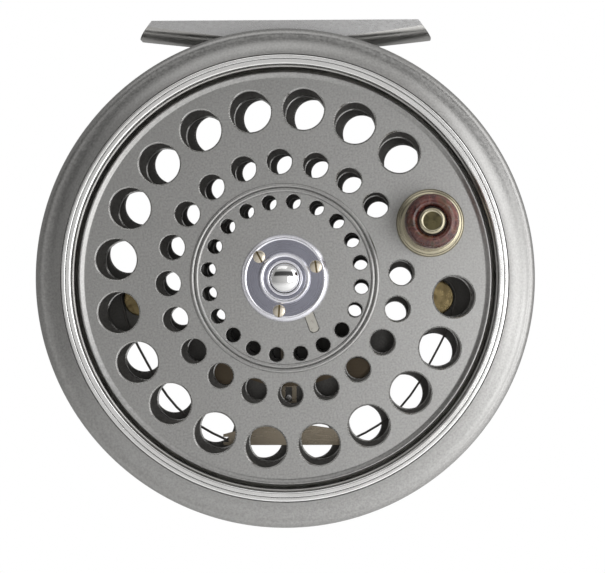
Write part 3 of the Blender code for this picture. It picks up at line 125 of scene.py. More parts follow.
BACK_RIM_FRONT = BACK_DEPTH - BACK_RIM_LENGTH
SCREW_SEAT = BACK_DEPTH - 3.4
PILLAR_CIRCLE = FRAME_RADIUS - 3.1
PILLAR_ANGLES = (30, -30, -90, -150, 150)
DRUM_FRONT = FRONT_THICKNESS + SEAT
DRUM_REAR = REAR_PLATE_FRONT - SEAT
DRUM_WALL = 1.2
HUB_RADIUS = 6.4
HUB_BORE = 4.25
BUSH_RADIUS = 4.15
BUSH_LENGTH = 5.5
SPINDLE_RADIUS = 2.85
SPINDLE_HOLE = 2.45         # in the back plate and the washer
FOOT_SCREW_HEAD = 1.2
COVER_SCREW_CIRCLE = 6.55
COVER_SCREW_ANGLES = (20, 140, 260)
LATCH_ANGLE = -70.0         # direction of the release tab, in degrees
LATCH_TRAVEL = 0.6
LATCH_RING = 4.2            # outer radius of the latch plate's ring
LATCH_THICKNESS = 1.3
LATCH_SPRING_LENGTH = 2.5
TAB_LOW = 1.1
TAB_HIGH = 2.9
TAB_END = 12.0
TAB_BEVEL = 0.5
HANDLE_CENTRE = centre_of("handle_grip")
GRIP_FRONT, GRIP_BACK = ends_of("handle_grip")
GRIP_LENGTH = GRIP_BACK - GRIP_FRONT
GRIP_RADIUS = 5.25
BOSS_CENTRE = centre_of("regulator_knob")
BOSS_RADIUS = 3.7
BRIDGE_FRONT = SPOOL_REAR + PLAY
HOLES_ROUND = 20
STEP_ANGLE = 360 / HOLES_ROUND
RING_SPACE = 3.95           # between the rings of holes
DOUBLE_BEAD_MIDDLE = 17.85

# ---- light: brightest from the right
BRIGHT_SIDE = (0.865, -0.48, 0.08)
BRIGHT_RANGE = (-0.5, 1.2)
WORLD_DIM = 0.37
WORLD_BRIGHT = 0.84
SIDE_POWER = 1.2
FRONT_POWER = 0.25
TOP_POWER = 0.2
FLOOR_POWER = 2.1

# ---- smoothness
SIDES_LARGE = 240
SIDES_MIDDLE = 96
SIDES_SMALL = 40
HOLE_SIDES = (64, 48, 40)
SEAM = 0.37                 # keeps the corners of the plates off the centre lines of the holes
SHARP_ANGLE = 32            # degrees between two faces, from which their edge is hard
CORNER_SHARE = 0.42         # the most of a side that a rounded corner takes
FLAT = 0.001 * MM           # depths this close count as one


def hole_rings():
    """(ring radius, hole radius) of the outer, middle and inner rings of holes, as in the CAD."""
    half = math.sin(math.pi / HOLES_ROUND)
    outside = FACE_RADIUS - 1.85
    rings = []
    for web in (2.38, 2.27, 1.87):
        ring = (outside + web / 2) / (1 + half)
        hole = ring * half - web / 2
        rings.append((ring, hole))
        outside = ring - hole - RING_SPACE
    return rings


RINGS = hole_rings()
DRUM_RADIUS = RINGS[1][0] - RINGS[1][1] - (RING_SPACE - DRUM_WALL) / 2 - 0.8


# ---- materials
class Nodes:
    """A node tree under construction: each method adds nodes and returns a socket."""

    def __init__(self, tree):
        self.tree = tree

    def node(self, kind, **settings):
        made = self.tree.nodes.new(kind)
        for key, value in settings.items():
            setattr(made, key, value)
        return made

    def join(self, source, target):
        self.tree.links.new(source, target)

    def maths(self, operation, one, two=0.0):
        made = self.node("ShaderNodeMath", operation=operation)
        for socket, value in zip(made.inputs, (one, two)):
            if isinstance(value, (int, float)):
                socket.default_value = value
            else:
                self.join(value, socket)
        return made.outputs[0]

    def spread(self, factor, low, high, start=0.3, stop=0.7, curve="LINEAR"):
        """A number that runs from low to high while the factor runs from start to stop."""
        made = self.node("ShaderNodeMapRange", interpolation_type=curve)
        for socket, value in zip(made.inputs[1:5], (start, stop, low, high)):
            socket.default_value = value
        self.join(factor, made.inputs["Value"])
        return made.outputs["Result"]


class Look(Nodes):
    """A material under construction."""

    def __init__(self, name, colour, metallic, roughness):
        self.material = bpy.data.materials.new(name)
        self.material.use_nodes = True
        super().__init__(self.material.node_tree)
        self.shader = self.tree.nodes["Principled BSDF"]
        self.set("Base Color", (*colour, 1.0))
        self.set("Metallic", metallic)
        self.set("Roughness", roughness)
        self.place = self.node("ShaderNodeTexCoord").outputs["Object"]

    def set(self, socket, value):
        self.shader.inputs[socket].default_value = value

    def drive(self, socket, source):
        self.join(source, self.shader.inputs[socket])

    def noise(self, scale, detail=3.0, distortion=0.0, place=None):
        made = self.node("ShaderNodeTexNoise")
        made.inputs["Scale"].default_value = scale
        made.inputs["Detail"].default_value = detail
        made.inputs["Distortion"].default_value = distortion
        self.join(place or self.place, made.inputs["Vector"])
        return made.outputs["Fac"]

    def ramp(self, factor, stops):
        """Colours along 0..1; each stop is (place, colour)."""
        made = self.node("ShaderNodeValToRGB")
        band = made.color_ramp
        while len(band.elements) < len(stops):
            band.elements.new(0.5)
        for element, (at, colour) in zip(band.elements, stops):
            element.position = at
            element.color = (*colour, 1.0)
        self.join(factor, made.inputs["Fac"])
        return made.outputs["Color"]

    def bump(self, height, strength, distance):
        made = self.node("ShaderNodeBump")
        made.inputs["Strength"].default_value = strength
        made.inputs["Distance"].default_value = distance
        self.join(height, made.inputs["Height"])
        self.drive("Normal", made.outputs["Normal"])

    def radius(self, across=("X", "Z")):
        """Distance from the piece's own axis, for lathe marks."""
        split = self.node("ShaderNodeSeparateXYZ")
        self.join(self.place, split.inputs["Vector"])
        squares = [self.maths("POWER", split.outputs[a], 2.0) for a in across]
        return self.maths("SQRT", self.maths("ADD", *squares))

    def lathe(self, scale):
        """Fine marks that run round the piece's own axis."""
        made = self.node("ShaderNodeTexNoise", noise_dimensions="1D")
        made.inputs["Scale"].default_value = scale
        made.inputs["Detail"].default_value = 4.0
        self.join(self.radius(), made.inputs["W"])
        return made.outputs["Fac"]


def shade(colour, factor):
    return tuple(c * factor for c in colour)


def blasted(name, colour, roughness, contrast=0.13):
    """Bead-blasted aluminium: a fine even grain with faint handling marks."""
    look = Look(name, colour, 1.0, roughness)
    grain = look.noise(2600, 2.0)
    marks = look.noise(70, 3.0, 0.4)
    stops = [(0.32, shade(colour, 1 - contrast)), (0.68, shade(colour, 1 + contrast))]
    look.drive("Base Color", look.ramp(grain, stops))
    rough = look.maths("ADD", look.spread(grain, roughness - 0.05, roughness + 0.05),
                       look.spread(marks, -0.03, 0.03))
    look.drive("Roughness", rough)
    look.bump(grain, 0.5, 0.02 * MM)
    return look.material


def lathed(name, colour, roughness, marks=6000, depth=0.25):
    """Metal finished on a lathe, polished to a varying degree, with faint marks round its axis."""
    look = Look(name, colour, 1.0, roughness)
    lines = look.lathe(marks)
    stains = look.noise(220, 3.0)
    look.drive("Base Color", look.ramp(stains, [(0.3, shade(colour, 0.93)), (0.7, shade(colour, 1.04))]))
    rough = look.maths("ADD", look.spread(lines, roughness * 0.8, roughness * 1.25),
                       look.spread(stains, -0.02, 0.03))
    look.drive("Roughness", rough)
    look.bump(lines, depth, 0.004 * MM)
    return look.material


def aged_brass(name, light, dark, roughness):
    """Brass that has darkened in patches, as handled and oiled brass does."""
    look = Look(name, light, 1.0, roughness)
    patches = look.noise(420, 5.0, 1.2)
    specks = look.noise(1900, 2.0)
    look.drive("Base Color", look.ramp(patches, [(0.28, dark), (0.5, shade(light, 0.8)), (0.72, light)]))
    rough = look.maths("ADD", look.spread(patches, roughness + 0.12, roughness - 0.04),
                       look.spread(specks, -0.04, 0.04))
    look.drive("Roughness", rough)
    look.bump(specks, 0.2, 0.01 * MM)
    return look.material


def marbled(name):
    """Polished resin with swirls of maroon, brown and near black, and paler threads."""
    look = Look(name, (0.1, 0.03, 0.03), 0.0, 0.14)
    swirl = look.noise(210, 5.0, 2.2)
    threads = look.noise(520, 3.0, 1.6)
    body = look.ramp(swirl, [(0.30, (0.008, 0.003, 0.003)), (0.43, (0.045, 0.010, 0.009)),
                             (0.53, (0.085, 0.024, 0.018)), (0.62, (0.055, 0.026, 0.012)),
                             (0.75, (0.015, 0.005, 0.005))])
    black = (0.0, 0.0, 0.0)
    pale = look.ramp(threads, [(0.56, black), (0.64, (0.06, 0.03, 0.022)), (0.70, black)])
    mix = look.node("ShaderNodeMix", data_type="RGBA", blend_type="ADD")
    mix.inputs[0].default_value = 1.0
    look.join(body, mix.inputs[6])
    look.join(pale, mix.inputs[7])
    look.drive("Base Color", mix.outputs[2])
    look.drive("Roughness", look.spread(threads, 0.2, 0.32))
    look.set("Coat Weight", 0.12)
    look.set("Coat Roughness", 0.12)
    look.set("IOR", 1.55)
    look.bump(look.noise(900, 2.0), 0.05, 0.02 * MM)
    return look.material


def brushed(name, colour, roughness, stretch):
    """Metal rubbed along one direction; stretch is the scale of the marks along X, Y and Z."""
    look = Look(name, colour, 1.0, roughness)
    mapping = look.node("ShaderNodeMapping")
    mapping.inputs["Scale"].default_value = stretch
    look.join(look.place, mapping.inputs["Vector"])
    lines = look.noise(1.0, 4.0, place=mapping.outputs["Vector"])
    marks = look.noise(120, 3.0)
    look.drive("Base Color", look.ramp(lines, [(0.3, shade(colour, 0.95)), (0.7, shade(colour, 1.04))]))
    rough = look.maths("ADD", look.spread(lines, roughness * 0.8, roughness * 1.2),
                       look.spread(marks, -0.03, 0.03))
    look.drive("Roughness", rough)
    look.bump(lines, 0.15, 0.003 * MM)
    return look.material


SATIN = blasted("satin_blasted", (0.36, 0.358, 0.352), 0.36)
# painted shade: a darker copy of the blasted satin for bores, hole walls and the faces inside the reel
SHADED_SATIN = blasted("satin_painted_shade", (0.15, 0.146, 0.14), 0.42)
GROOVE = lathed("satin_groove", (0.4, 0.395, 0.385), 0.35, 4000, 0.1)
WALL = lathed("satin_wall", (0.5, 0.495, 0.48), 0.3, 4000, 0.1)
CONE = lathed("satin_turned", (0.36, 0.358, 0.352), 0.32, 3000, 0.2)
BRIGHT = lathed("polished_turned", (0.88, 0.88, 0.875), 0.16, 9000, 0.08)
EDGE = lathed("chamfer_bright", (0.5, 0.5, 0.49), 0.26, 5000, 0.1)
COVER = lathed("cover_annulus", (0.26, 0.262, 0.31), 0.30, 5000, 0.03)
COVER_RING = lathed("cover_bright", (0.84, 0.84, 0.9), 0.24, 7000, 0.05)
STEEL = lathed("spindle_steel", (0.80, 0.80, 0.80), 0.07, 7000, 0.08)
NICKEL = lathed("screw_nickel", (0.66, 0.60, 0.5), 0.3, 6000, 0.25)
PLAIN_NICKEL = lathed("screw_plain", (0.55, 0.54, 0.52), 0.26, 6000, 0.25)
BRASS = aged_brass("brass_aged", (0.36, 0.28, 0.14), (0.13, 0.09, 0.045), 0.28)
PAWL_BRASS = brushed("brass_brushed", (0.36, 0.31, 0.24), 0.3, (300, 2200, 2200))
# painted shade: a darker copy of the brushed brass for the click bridge, which sits in the reel's shadow
SHADED_BRASS = brushed("brass_painted_shade", (0.17, 0.135, 0.095), 0.32, (300, 2200, 2200))
PALE_BRASS = lathed("brass_pale", (0.42, 0.385, 0.285), 0.22, 8000, 0.12)
CAP_BRASS = aged_brass("brass_olive", (0.11, 0.095, 0.05), (0.04, 0.036, 0.022), 0.3)
# painted shade in the screwdriver slots, drawn as dark oxidised brass
SLOT_SHADE = aged_brass("slot_painted_shade", (0.2, 0.15, 0.07), (0.03, 0.025, 0.015), 0.4)
SPRING = brushed("spring_blued", (0.09, 0.085, 0.08), 0.35, (3000, 400, 3000))
GRIP = marbled("grip_marbled")
FOOT = brushed("foot_satin", (0.66, 0.66, 0.665), 0.3, (900, 2600, 2600))
RAMP = brushed("foot_polished", (0.48, 0.475, 0.46), 0.34, (300, 1800, 1800))
LATCH = brushed("latch_satin", (0.5, 0.485, 0.44), 0.3, (1200, 1200, 1200))


# ---- mesh helpers
def polar(radius, degrees):
    angle = math.radians(degrees)
    return (radius * math.cos(angle), radius * math.sin(angle))


def arc(centre, radius, start, stop, steps):
    points = []
    for i in range(steps + 1):
        x, z = polar(radius, start + (stop - start) * i / steps)
        points.append((centre[0] + x, centre[1] + z))
    return points


def soften(outline, size, steps=3):
    """The closed outline with rounded corners; a point's look is that of the band that ends there."""
    made = []
    for i, point in enumerate(outline):
        before = outline[i - 1]
        after = outline[(i + 1) % len(outline)]
        if point[0] == 0:
            made.append(point)
            continue
        here = Vector(point[:2])
        back = Vector(before[:2]) - here
        ahead = Vector(after[:2]) - here
        start = here + back.normalized() * min(size, back.length * CORNER_SHARE)
        stop = here + ahead.normalized() * min(size, ahead.length * CORNER_SHARE)
        for step in range(steps + 1):
            t = step / steps
            spot = start * (1 - t) ** 2 + here * 2 * t * (1 - t) + stop * t ** 2
            look = point[2] if t < 0.5 else after[2]
            made.append((spot.x, spot.y, look))
    return made


def with_look(points, look=0):
    return [(*p, look) if len(p) == 2 else p for p in points]


def add_point(bm, x, depth, z):
    """A vertex at a place in millimetres."""
    return bm.verts.new((x * MM, depth * MM, z * MM))


def revolve(bm, outline, sides, centre=(0, 0), look=0):
    """A closed outline of (radius, depth), or (radius, depth, look), spun round a line along Y."""
    outline = with_look(outline, look)
    rings = []
    for radius, depth, _ in outline:
        if radius == 0:
            rings.append([add_point(bm, centre[0], depth, centre[1])] * sides)
            continue
        ring = []
        for i in range(sides):
            x, z = polar(radius, 360 * (i + SEAM) / sides)
            ring.append(add_point(bm, centre[0] + x, depth, centre[1] + z))
        rings.append(ring)
    for one, two, point in zip(rings[-1:] + rings[:-1], rings, outline):
        for i in range(sides):
            j = (i + 1) % sides
            corners = list(dict.fromkeys((one[i], one[j], two[j], two[i])))
            if len(corners) > 2:
                bm.faces.new(corners).material_index = point[2]


def add_slab(bm, outline, front, back, look=0):
    near = [add_point(bm, x, front, z) for x, z in outline]
    far = [add_point(bm, x, back, z) for x, z in outline]
    made = [bm.faces.new(near), bm.faces.new(far[::-1])]
    for i in range(len(outline)):
        made.append(bm.faces.new((near[i], near[i - 1], far[i - 1], far[i])))
    for face in made:
        face.material_index = look


def face_class(face):
    """0 for a face square to the spool's axis, 1 for one along it, 2 for any other."""
    depths = [v.co.y for v in face.verts]
    if max(depths) - min(depths) < FLAT:
        return 0
    return 1 if abs(face.normal.y) < 0.00001 else 2


def sharpen(bm, angle):
    """Smooth faces, with a hard edge at each corner; a flat face stays exactly flat."""
    for face in bm.faces:
        face.smooth = face_class(face) != 0
    for edge in bm.edges:
        if len(edge.link_faces) != 2:
            continue
        one, two = edge.link_faces
        edge.smooth = face_class(one) == face_class(two) and edge.calc_face_angle(0) < math.radians(angle)


def linked(name, data):
    """A new object in the scene."""
    made = bpy.data.objects.new(name, data)
    bpy.context.scene.collection.objects.link(made)
    return made


def new_object(name, bm, looks, angle=SHARP_ANGLE):
    bmesh.ops.recalc_face_normals(bm, faces=bm.faces)
    sharpen(bm, angle)
    mesh = bpy.data.meshes.new(name)
    bm.to_mesh(mesh)
    bm.free()
    for look in looks:
        mesh.materials.append(look)
    return linked(name, mesh)


def bake(obj):
    """Puts the result of an object's modifiers in its mesh."""
    graph = bpy.context.evaluated_depsgraph_get()
    mesh = bpy.data.meshes.new_from_object(obj.evaluated_get(graph))
    obj.modifiers.clear()
    obj.data = mesh
    return mesh


def cut(obj, tool_bm):
    """Takes the tool's shape away from the object; the tool's faces keep the number of their look."""
    tool = new_object(obj.name + "_tool", tool_bm, list(obj.data.materials))
    modifier = obj.modifiers.new("cut", "BOOLEAN")
    modifier.operation = "DIFFERENCE"
    modifier.solver = "MANIFOLD"
    modifier.object = tool
    mesh = bake(obj)
    bm = bmesh.new()
    bm.from_mesh(mesh)
    sharpen(bm, SHARP_ANGLE)
    bm.to_mesh(mesh)
    bm.free()
    bpy.data.objects.remove(tool, do_unlink=True)


def round_edges(obj, width, segments=3):
    modifier = obj.modifiers.new("edges", "BEVEL")
    modifier.width = width * MM
    modifier.segments = segments
    modifier.limit_method = "ANGLE"
    modifier.angle_limit = math.radians(30)
    modifier.harden_normals = True
    bake(obj)


def declare(obj, body, node):
    """Puts a piece on its body, standing for its CAD node, which it hides."""
    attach(obj, body)
    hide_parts(node)


def settle(obj, body, node, centre=(0, 0), turn=0.0):
    """Declares a piece drawn round a centre and puts it in its place, turned by some degrees."""
    obj.location = (centre[0] * MM, FACE_Y, AXIS_Z + centre[1] * MM)
    obj.rotation_euler = (0, -math.radians(turn), 0)
    declare(obj, body, node)


def revolved(name, outline, looks, sides, angle=SHARP_ANGLE):
    bm = bmesh.new()
    revolve(bm, outline, sides)
    return new_object(name, bm, looks, angle)


def turned(name, outline, looks, sides=SIDES_MIDDLE, edge=0.12, steps=3):
    """A turned piece with rounded corners, drawn round its own origin so that lathe marks run round it."""
    return revolved(name, soften(with_look(outline), edge, steps), looks, sides)


def add_turned(node, outline, looks, body, slot, centre=(0, 0), sides=SIDES_MIDDLE, edge=0.12):
    """A turned piece in its place, standing for a CAD node."""
    settle(turned(node + "_detail", outline, looks, sides, edge), body, node, centre)


def rod(bm, radius, front, back, sides=SIDES_SMALL, centre=(0, 0)):
    """A plain bar, which cuts a bore."""
    revolve(bm, [(0, front), (radius, front), (radius, back), (0, back)], sides, centre)


def stepped_rod(bm, radii, depths, centre=(0, 0), look=0):
    """A stepped bar, which cuts a screw's hole: two radii, and the depths of start, step and end."""
    first, second = radii
    start, step, end = depths
    outline = [(0, start), (first, start), (first, step), (second, step), (second, end), (0, end)]
    revolve(bm, outline, SIDES_SMALL, centre, look)


def turn_points(bm, points, angle, axis="Y"):
    bmesh.ops.rotate(bm, verts=points, cent=(0, 0, 0), matrix=Matrix.Rotation(angle, 3, axis))


def oblong(left, right, bottom, top):
    return [(left, bottom), (right, bottom), (right, top), (left, top)]


def cut_slot(obj, head, half_width, near, far, turn):
    """A screwdriver slot across a screw's head."""
    tool = bmesh.new()
    # look 1 on the slot's faces is the painted shade of the slot
    add_slab(tool, oblong(-2 * head, 2 * head, -half_width, half_width), near, far, 1)
    turn_points(tool, tool.verts, turn)
    cut(obj, tool)


def add_bevels(bm, ends, inner, wide, gap, drop, look=0):
    """Rings that bevel both ends of a piece outside an inner radius, by a drop at the wide radius."""
    front, back = ends
    for at, sign in ((back, 1), (front, -1)):
        ring = [(inner, at + sign * gap), (inner, at + sign), (wide, at + sign), (wide, at - sign * drop)]
        revolve(bm, ring, SIDES_MIDDLE, look=look)


def hole_angles(ring, missing):
    offset = 0.0 if ring == 1 else STEP_ANGLE / 2
    angles = [offset + STEP_ANGLE * i for i in range(HOLES_ROUND)]
    return [a for a in angles if round(a) % 360 not in {round(m) % 360 for m in missing}]


def chamfered_bar(bm, centre, radius, ends, chamfer, sides, wall, edge=1):
    """A bar that cuts a hole with a chamfer at both of its mouths; wall and edge are numbers of looks."""
    front, back = ends
    mouth = radius + chamfer
    outline = [
        (0, front - OVER, wall), (mouth, front - OVER, wall), (mouth, front, wall),
        (radius, front + chamfer, edge), (radius, back - chamfer, wall), (mouth, back, edge),
        (mouth, back + OVER, wall), (0, back + OVER, wall),
    ]
    revolve(bm, outline, sides, centre)


def perforate(bm, missing, ends, chamfers, wall, shrink=(0, 0, 0)):
    """All three rings of holes, without those at the missing angles."""
    for ring, (circle, hole) in enumerate(RINGS):
        for angle in hole_angles(ring, missing[ring]):
            place = polar(circle, angle)
            chamfered_bar(bm, place, hole - shrink[ring], ends, chamfers[ring], HOLE_SIDES[ring], wall)


def lip(inner, outer, look, crowns):
    """The crowned front of a lip, from its inner side to its outer side."""
    points = []
    steps = 6
    sides = ((180, inner + crowns[0], crowns[0]), (90, outer - crowns[1], crowns[1]))
    for start, centre, crown in sides:
        for step in range(steps + 1):
            x, rise = polar(crown, start - 90 * step / steps)
            points.append((centre + x, -LIP_RISE + crown - rise, look))
    return points


# ---- frame
def frame_ring():
    """The front ring: a bright lip, a fine groove, a cove that flattens outwards and a rounded edge."""
    # the inner look is painted shade on the bore
    satin, bright, shaded = range(3)
    inner = BORE_RADIUS + LIP_WIDTH
    groove = 0.12
    edge_depth = COVE_DROP - LIP_RISE
    steps = 16
    cove = [
        (inner + groove + (COVE_WIDTH - groove) * i / steps,
         edge_depth - (COVE_DROP - 0.1) * (1 - i / steps) ** 2, satin)
        for i in range(steps + 1)
    ]
    edge = [
        (FRAME_RADIUS - EDGE_ROUND * (1 - math.sin(math.radians(a))),
         edge_depth + EDGE_ROUND * (1 - math.cos(math.radians(a))), satin)
        for a in range(6, 91, 6)
    ]
    outline = [
        (BORE_RADIUS, RING_REAR, shaded), (BORE_RADIUS, -LIP_RISE + 2.5, shaded),
        *lip(BORE_RADIUS - 0.05, inner, bright, (0.12, 0.3)),
        (inner, -LIP_RISE + 0.45, bright),
        *cove, *edge,
        (FRAME_RADIUS, RING_REAR - 0.3, satin), (FRAME_RADIUS - 0.3, RING_REAR, satin),
    ]
    ring = revolved("frame_ring_detail", outline, [SATIN, BRIGHT, SHADED_SATIN], SIDES_LARGE)
    settle(ring, "frame", "frame_ring")


def back_plate():
    """The back: a perforated plate with a stepped rim, a fine groove and holes for its screws."""
    # the inner look is painted shade on the front face, the bore and the hole walls
    satin, _, bright, shaded = range(4)
    groove = BORE_RADIUS - 1.3
    outline = [
        (SPINDLE_HOLE, PLATE_FRONT, shaded), (BORE_RADIUS, PLATE_FRONT, shaded),
        (BORE_RADIUS, BACK_RIM_FRONT, shaded), (FRAME_RADIUS - 0.3, BACK_RIM_FRONT, satin),
        (FRAME_RADIUS, BACK_RIM_FRONT + 0.3, satin), (FRAME_RADIUS, BACK_DEPTH - 3.7, satin),
        (FRAME_RADIUS - 0.5, BACK_DEPTH - 3.2, bright), (FRAME_RADIUS - 1.3, BACK_DEPTH - 2.95, bright),
        (FRAME_RADIUS - 1.6, BACK_DEPTH - 2.7, bright), (BORE_RADIUS + LIP_WIDTH, BACK_DEPTH, satin),
        (groove + 0.3, BACK_DEPTH, satin), (groove, BACK_DEPTH - 0.25, bright),
        (groove - 0.3, BACK_DEPTH, bright), (SPINDLE_HOLE, BACK_DEPTH, satin),
    ]
    looks = [SATIN, EDGE, BRIGHT, SHADED_SATIN]
    plate = revolved("back_plate_detail", soften(outline, 0.15, 2), looks, SIDES_LARGE)
    tool = bmesh.new()
    lower_middle = [-36 - STEP_ANGLE * i for i in range(7)]
    lower_inner = [-45 - STEP_ANGLE * i for i in range(6)]
    perforate(tool, ([-9, -171], lower_middle, lower_inner), (PLATE_FRONT, BACK_DEPTH),
              (0.25, 0.2, 0.15), shaded, (0.19, 0.13, 0.0))
    for centre in pillar_screw_places():
        stepped_rod(tool, (1.05, 1.9), (BACK_RIM_FRONT - OVER, SCREW_SEAT, BACK_DEPTH + OVER), centre)
    rod(tool, 1.65, PLATE_FRONT - OVER, BACK_DEPTH + OVER, SIDES_SMALL, BOSS_CENTRE)
    cut(plate, tool)
    settle(plate, "frame", "back_plate")


def pillar_screw_places():
    """Where the screws of the five pillars and of the foot bridge are."""
    offset = centre_of("bridge_screw_right")[0]
    height = centre_of("foot_bridge")[1]
    return [polar(PILLAR_CIRCLE, a) for a in PILLAR_ANGLES] + [(-offset, height), (offset, height)]


def pillars():
    """Round pillars, waisted at both ends by a fine groove as turned pillars are."""
    front = RING_REAR + SEAT
    rear = BACK_RIM_FRONT - SEAT
    peg, waist, full = 1.1, 1.8, 2.0
    outline = [
        (0, front - 1.8), (peg, front - 1.8), (peg, front), (full, front),
        (full, front + 1.2), (waist, front + 1.4), (waist, rear - 1.4), (full, rear - 1.2),
        (full, rear), (0, rear),
    ]
    for number, angle in enumerate(PILLAR_ANGLES, 1):
        made = turned(f"pillar_detail_{number}", outline, [BRIGHT], SIDES_MIDDLE // 2)
        settle(made, "frame", f"pillar_{number}", polar(PILLAR_CIRCLE, angle))


def screw(node, centre, faces, radii, look, slot_turn, body, dome=0.0, name=None):
    """A slotted screw with a softly domed head: faces are the depths of head top, seat and tip."""
    top, seat, tip = faces
    head, shank = radii
    sign = 1 if tip > top else -1
    edge = 0.12
    outline = [
        (0, top - sign * dome), (head * 0.5, top - sign * dome * 0.75), (head - edge, top),
        (head, top + sign * edge), (head, seat), (shank, seat), (shank, tip), (0, tip),
    ]
    made = turned(name or node + "_detail", outline, [look, SLOT_SHADE], SIDES_SMALL, 0.06, 2)
    depth = 0.6 * abs(seat - top)
    cut_slot(made, head, head * 0.15, top - sign * (OVER + dome), top + sign * depth, slot_turn)
    settle(made, body, node, centre)


def pillar_screws():
    seat = SCREW_SEAT + SEAT
    names = [f"pillar_screw_{n}" for n in range(1, 6)] + ["bridge_screw_left", "bridge_screw_right"]
    for number, (name, centre) in enumerate(zip(names, pillar_screw_places()), 1):
        faces = (seat + 1.1, seat, ends_of(name)[0])
        screw(name, centre, faces, (1.8, 1.0), PLAIN_NICKEL, 0.5 * number, "frame", 0.1)


def small_back_screws():
    """The screws of the click check, whose heads show on the back plate."""
    seat = BACK_DEPTH + SEAT
    names = ("check_bridge_screw_left", "check_bridge_screw_right", "spring_anchor_screw")
    for number, name in enumerate(names):
        faces = (seat + 0.65, seat, ends_of(name)[0])
        turn = 0.6 + 0.5 * number
        screw(name, centre_of(name), faces, (1.6, 0.8), PLAIN_NICKEL, turn, "frame", 0.15)


def foot_screws():
    """The two upright screws in the foot's dish."""
    head, shank = 2.2, 1.2
    for name, turn in (("foot_screw_left", -0.6), ("foot_screw_right", 1.4)):
        low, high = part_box(name)
        top = high.z / MM
        bottom = low.z / MM
        seat = top - FOOT_SCREW_HEAD
        outline = [(0, top), (head - 0.5, top), (head, top - 0.3), (head, seat), (shank, seat),
                   (shank, bottom), (0, bottom)]
        made = turned(name + "_detail", outline, [PLAIN_NICKEL, SLOT_SHADE], SIDES_SMALL, 0.08, 2)
        cut_slot(made, head, 0.3, top - 0.55, top + OVER, turn)
        made.rotation_euler = (math.radians(90), 0, 0)
        made.location = ((low.x + high.x) / 2, (low.y + high.y) / 2, 0)
        declare(made, "frame", name)


def foot_bridge():
    low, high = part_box("foot_bridge")
    sides = [v / MM for v in (low.x, high.x, low.z - AXIS_Z, high.z - AXIS_Z)]
    bm = bmesh.new()
    add_slab(bm, oblong(*sides), *ends_of("foot_bridge"))
    bridge = new_object("foot_bridge_detail", bm, [SATIN])
    round_edges(bridge, 0.35)
    settle(bridge, "frame", "foot_bridge")


def foot_section(half, dish, wall, depth, pad):
    """(y, z, look) across the foot, z measured down from its rims: dish, side walls and crowned belly."""
    inner = half - 0.5
    reach = math.asin(inner / dish)
    rim = dish * math.cos(reach)
    points = [(-half, -0.05, 0), (-half + 0.1, 0, 0)]
    steps = 28
    for i in range(steps + 1):
        angle = reach * (2 * i / steps - 1)
        points.append((dish * math.sin(angle), rim - dish * math.cos(angle), 0))
    points += [(half - 0.1, 0, 0), (half, -0.05, 0)]
    turns = 12
    belly = []
    for i in range(turns + 1):
        angle = math.pi / 2 * i / turns
        y = pad + (half - pad) * math.cos(angle)
        belly.append((y, -wall - (depth - wall) * math.sin(angle), 1 if i else 0))
    points += belly
    points += [(-y, z, 1) for y, z, _ in belly[::-1]]
    return points


def reel_foot():
    """The foot: a dished top, satin sides and two polished ramps that run out to slanted ends."""
    low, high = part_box("reel_foot")
    size = (high - low) / MM
    half_length = size.x / 2
    half_width = size.y / 2
    rims = (high.z - AXIS_Z) / MM
    middle_y = ((high.y + low.y) / 2 - FACE_Y) / MM
    dish = 14.0
    pad = 2.5
    wall_middle, wall_tip = 3.35, 1.15
    depth_middle, depth_tip = size.z, 3.4
    pad_half = 11.0
    slant = 2.6
    steps = 10
    places = [(-1, 1 - i / steps) for i in range(steps + 1)] + [(1, i / steps) for i in range(steps + 1)]
    bm = bmesh.new()
    stations = []
    for side, share in places:
        wall = wall_middle + (wall_tip - wall_middle) * share
        depth = depth_middle + (depth_tip - depth_middle) * share
        ring = []
        for y, z, _ in foot_section(half_width, dish, wall, depth, pad):
            tip = half_length - slant * (1 + z / depth_tip)
            x = side * (pad_half + (tip - pad_half) * share)
            ring.append(add_point(bm, x, middle_y + y, rims + z))
        stations.append(ring)
    looks = [p[2] for p in foot_section(half_width, dish, wall_middle, depth_middle, pad)]
    for one, two in zip(stations, stations[1:]):
        for i in range(len(one)):
            face = bm.faces.new((one[i - 1], one[i], two[i], two[i - 1]))
            face.material_index = looks[i] if looks[i - 1] == looks[i] else 0
    bm.faces.new(stations[0]).material_index = 1
    bm.faces.new(stations[-1]).material_index = 1
    foot = new_object("reel_foot_detail", bm, [FOOT, RAMP])
    tool = bmesh.new()
    for name in ("foot_screw_left", "foot_screw_right"):
        low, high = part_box(name)
        seat = (high.z - AXIS_Z) / MM - FOOT_SCREW_HEAD - SEAT
        before = set(tool.verts)
        stepped_rod(tool, (1.25, 2.25), (0, seat, rims + OVER))
        new = [v for v in tool.verts if v not in before]
        turn_points(tool, new, math.pi / 2, "X")
        bmesh.ops.translate(tool, verts=new, vec=((low.x + high.x) / 2, middle_y * MM, 0))
    cut(foot, tool)
    round_edges(foot, 0.22)
    settle(foot, "frame", "reel_foot")


# ---- spindle, nut and washer
def spindle():
    """The spindle: a polished dome, the latch's groove, a collar and a threaded end."""
    rear = ends_of("spindle")[1]
    tip = 0.9
    rise = 1.3
    shoulder = PLATE_FRONT - SEAT
    collar = shoulder - 1.6
    dome = [(0, -tip - rise)]
    steps = 14
    for i in range(1, steps + 1):
        angle = math.pi / 2 * i / steps
        dome.append((SPINDLE_RADIUS * math.sin(angle), -tip - rise * math.cos(angle)))
    latch_groove, collar_radius, end = 2.3, 4.2, 2.4
    body = [
        (SPINDLE_RADIUS, 0), (latch_groove, 0), (latch_groove, 1.45), (SPINDLE_RADIUS, 1.45),
        (SPINDLE_RADIUS, collar), (collar_radius, collar), (collar_radius, shoulder), (end, shoulder),
        (end, rear - 0.4), (end - 0.4, rear), (0, rear),
    ]
    made = revolved("spindle_detail", dome + body, [STEEL], SIDES_MIDDLE)
    settle(made, "frame", "spindle")


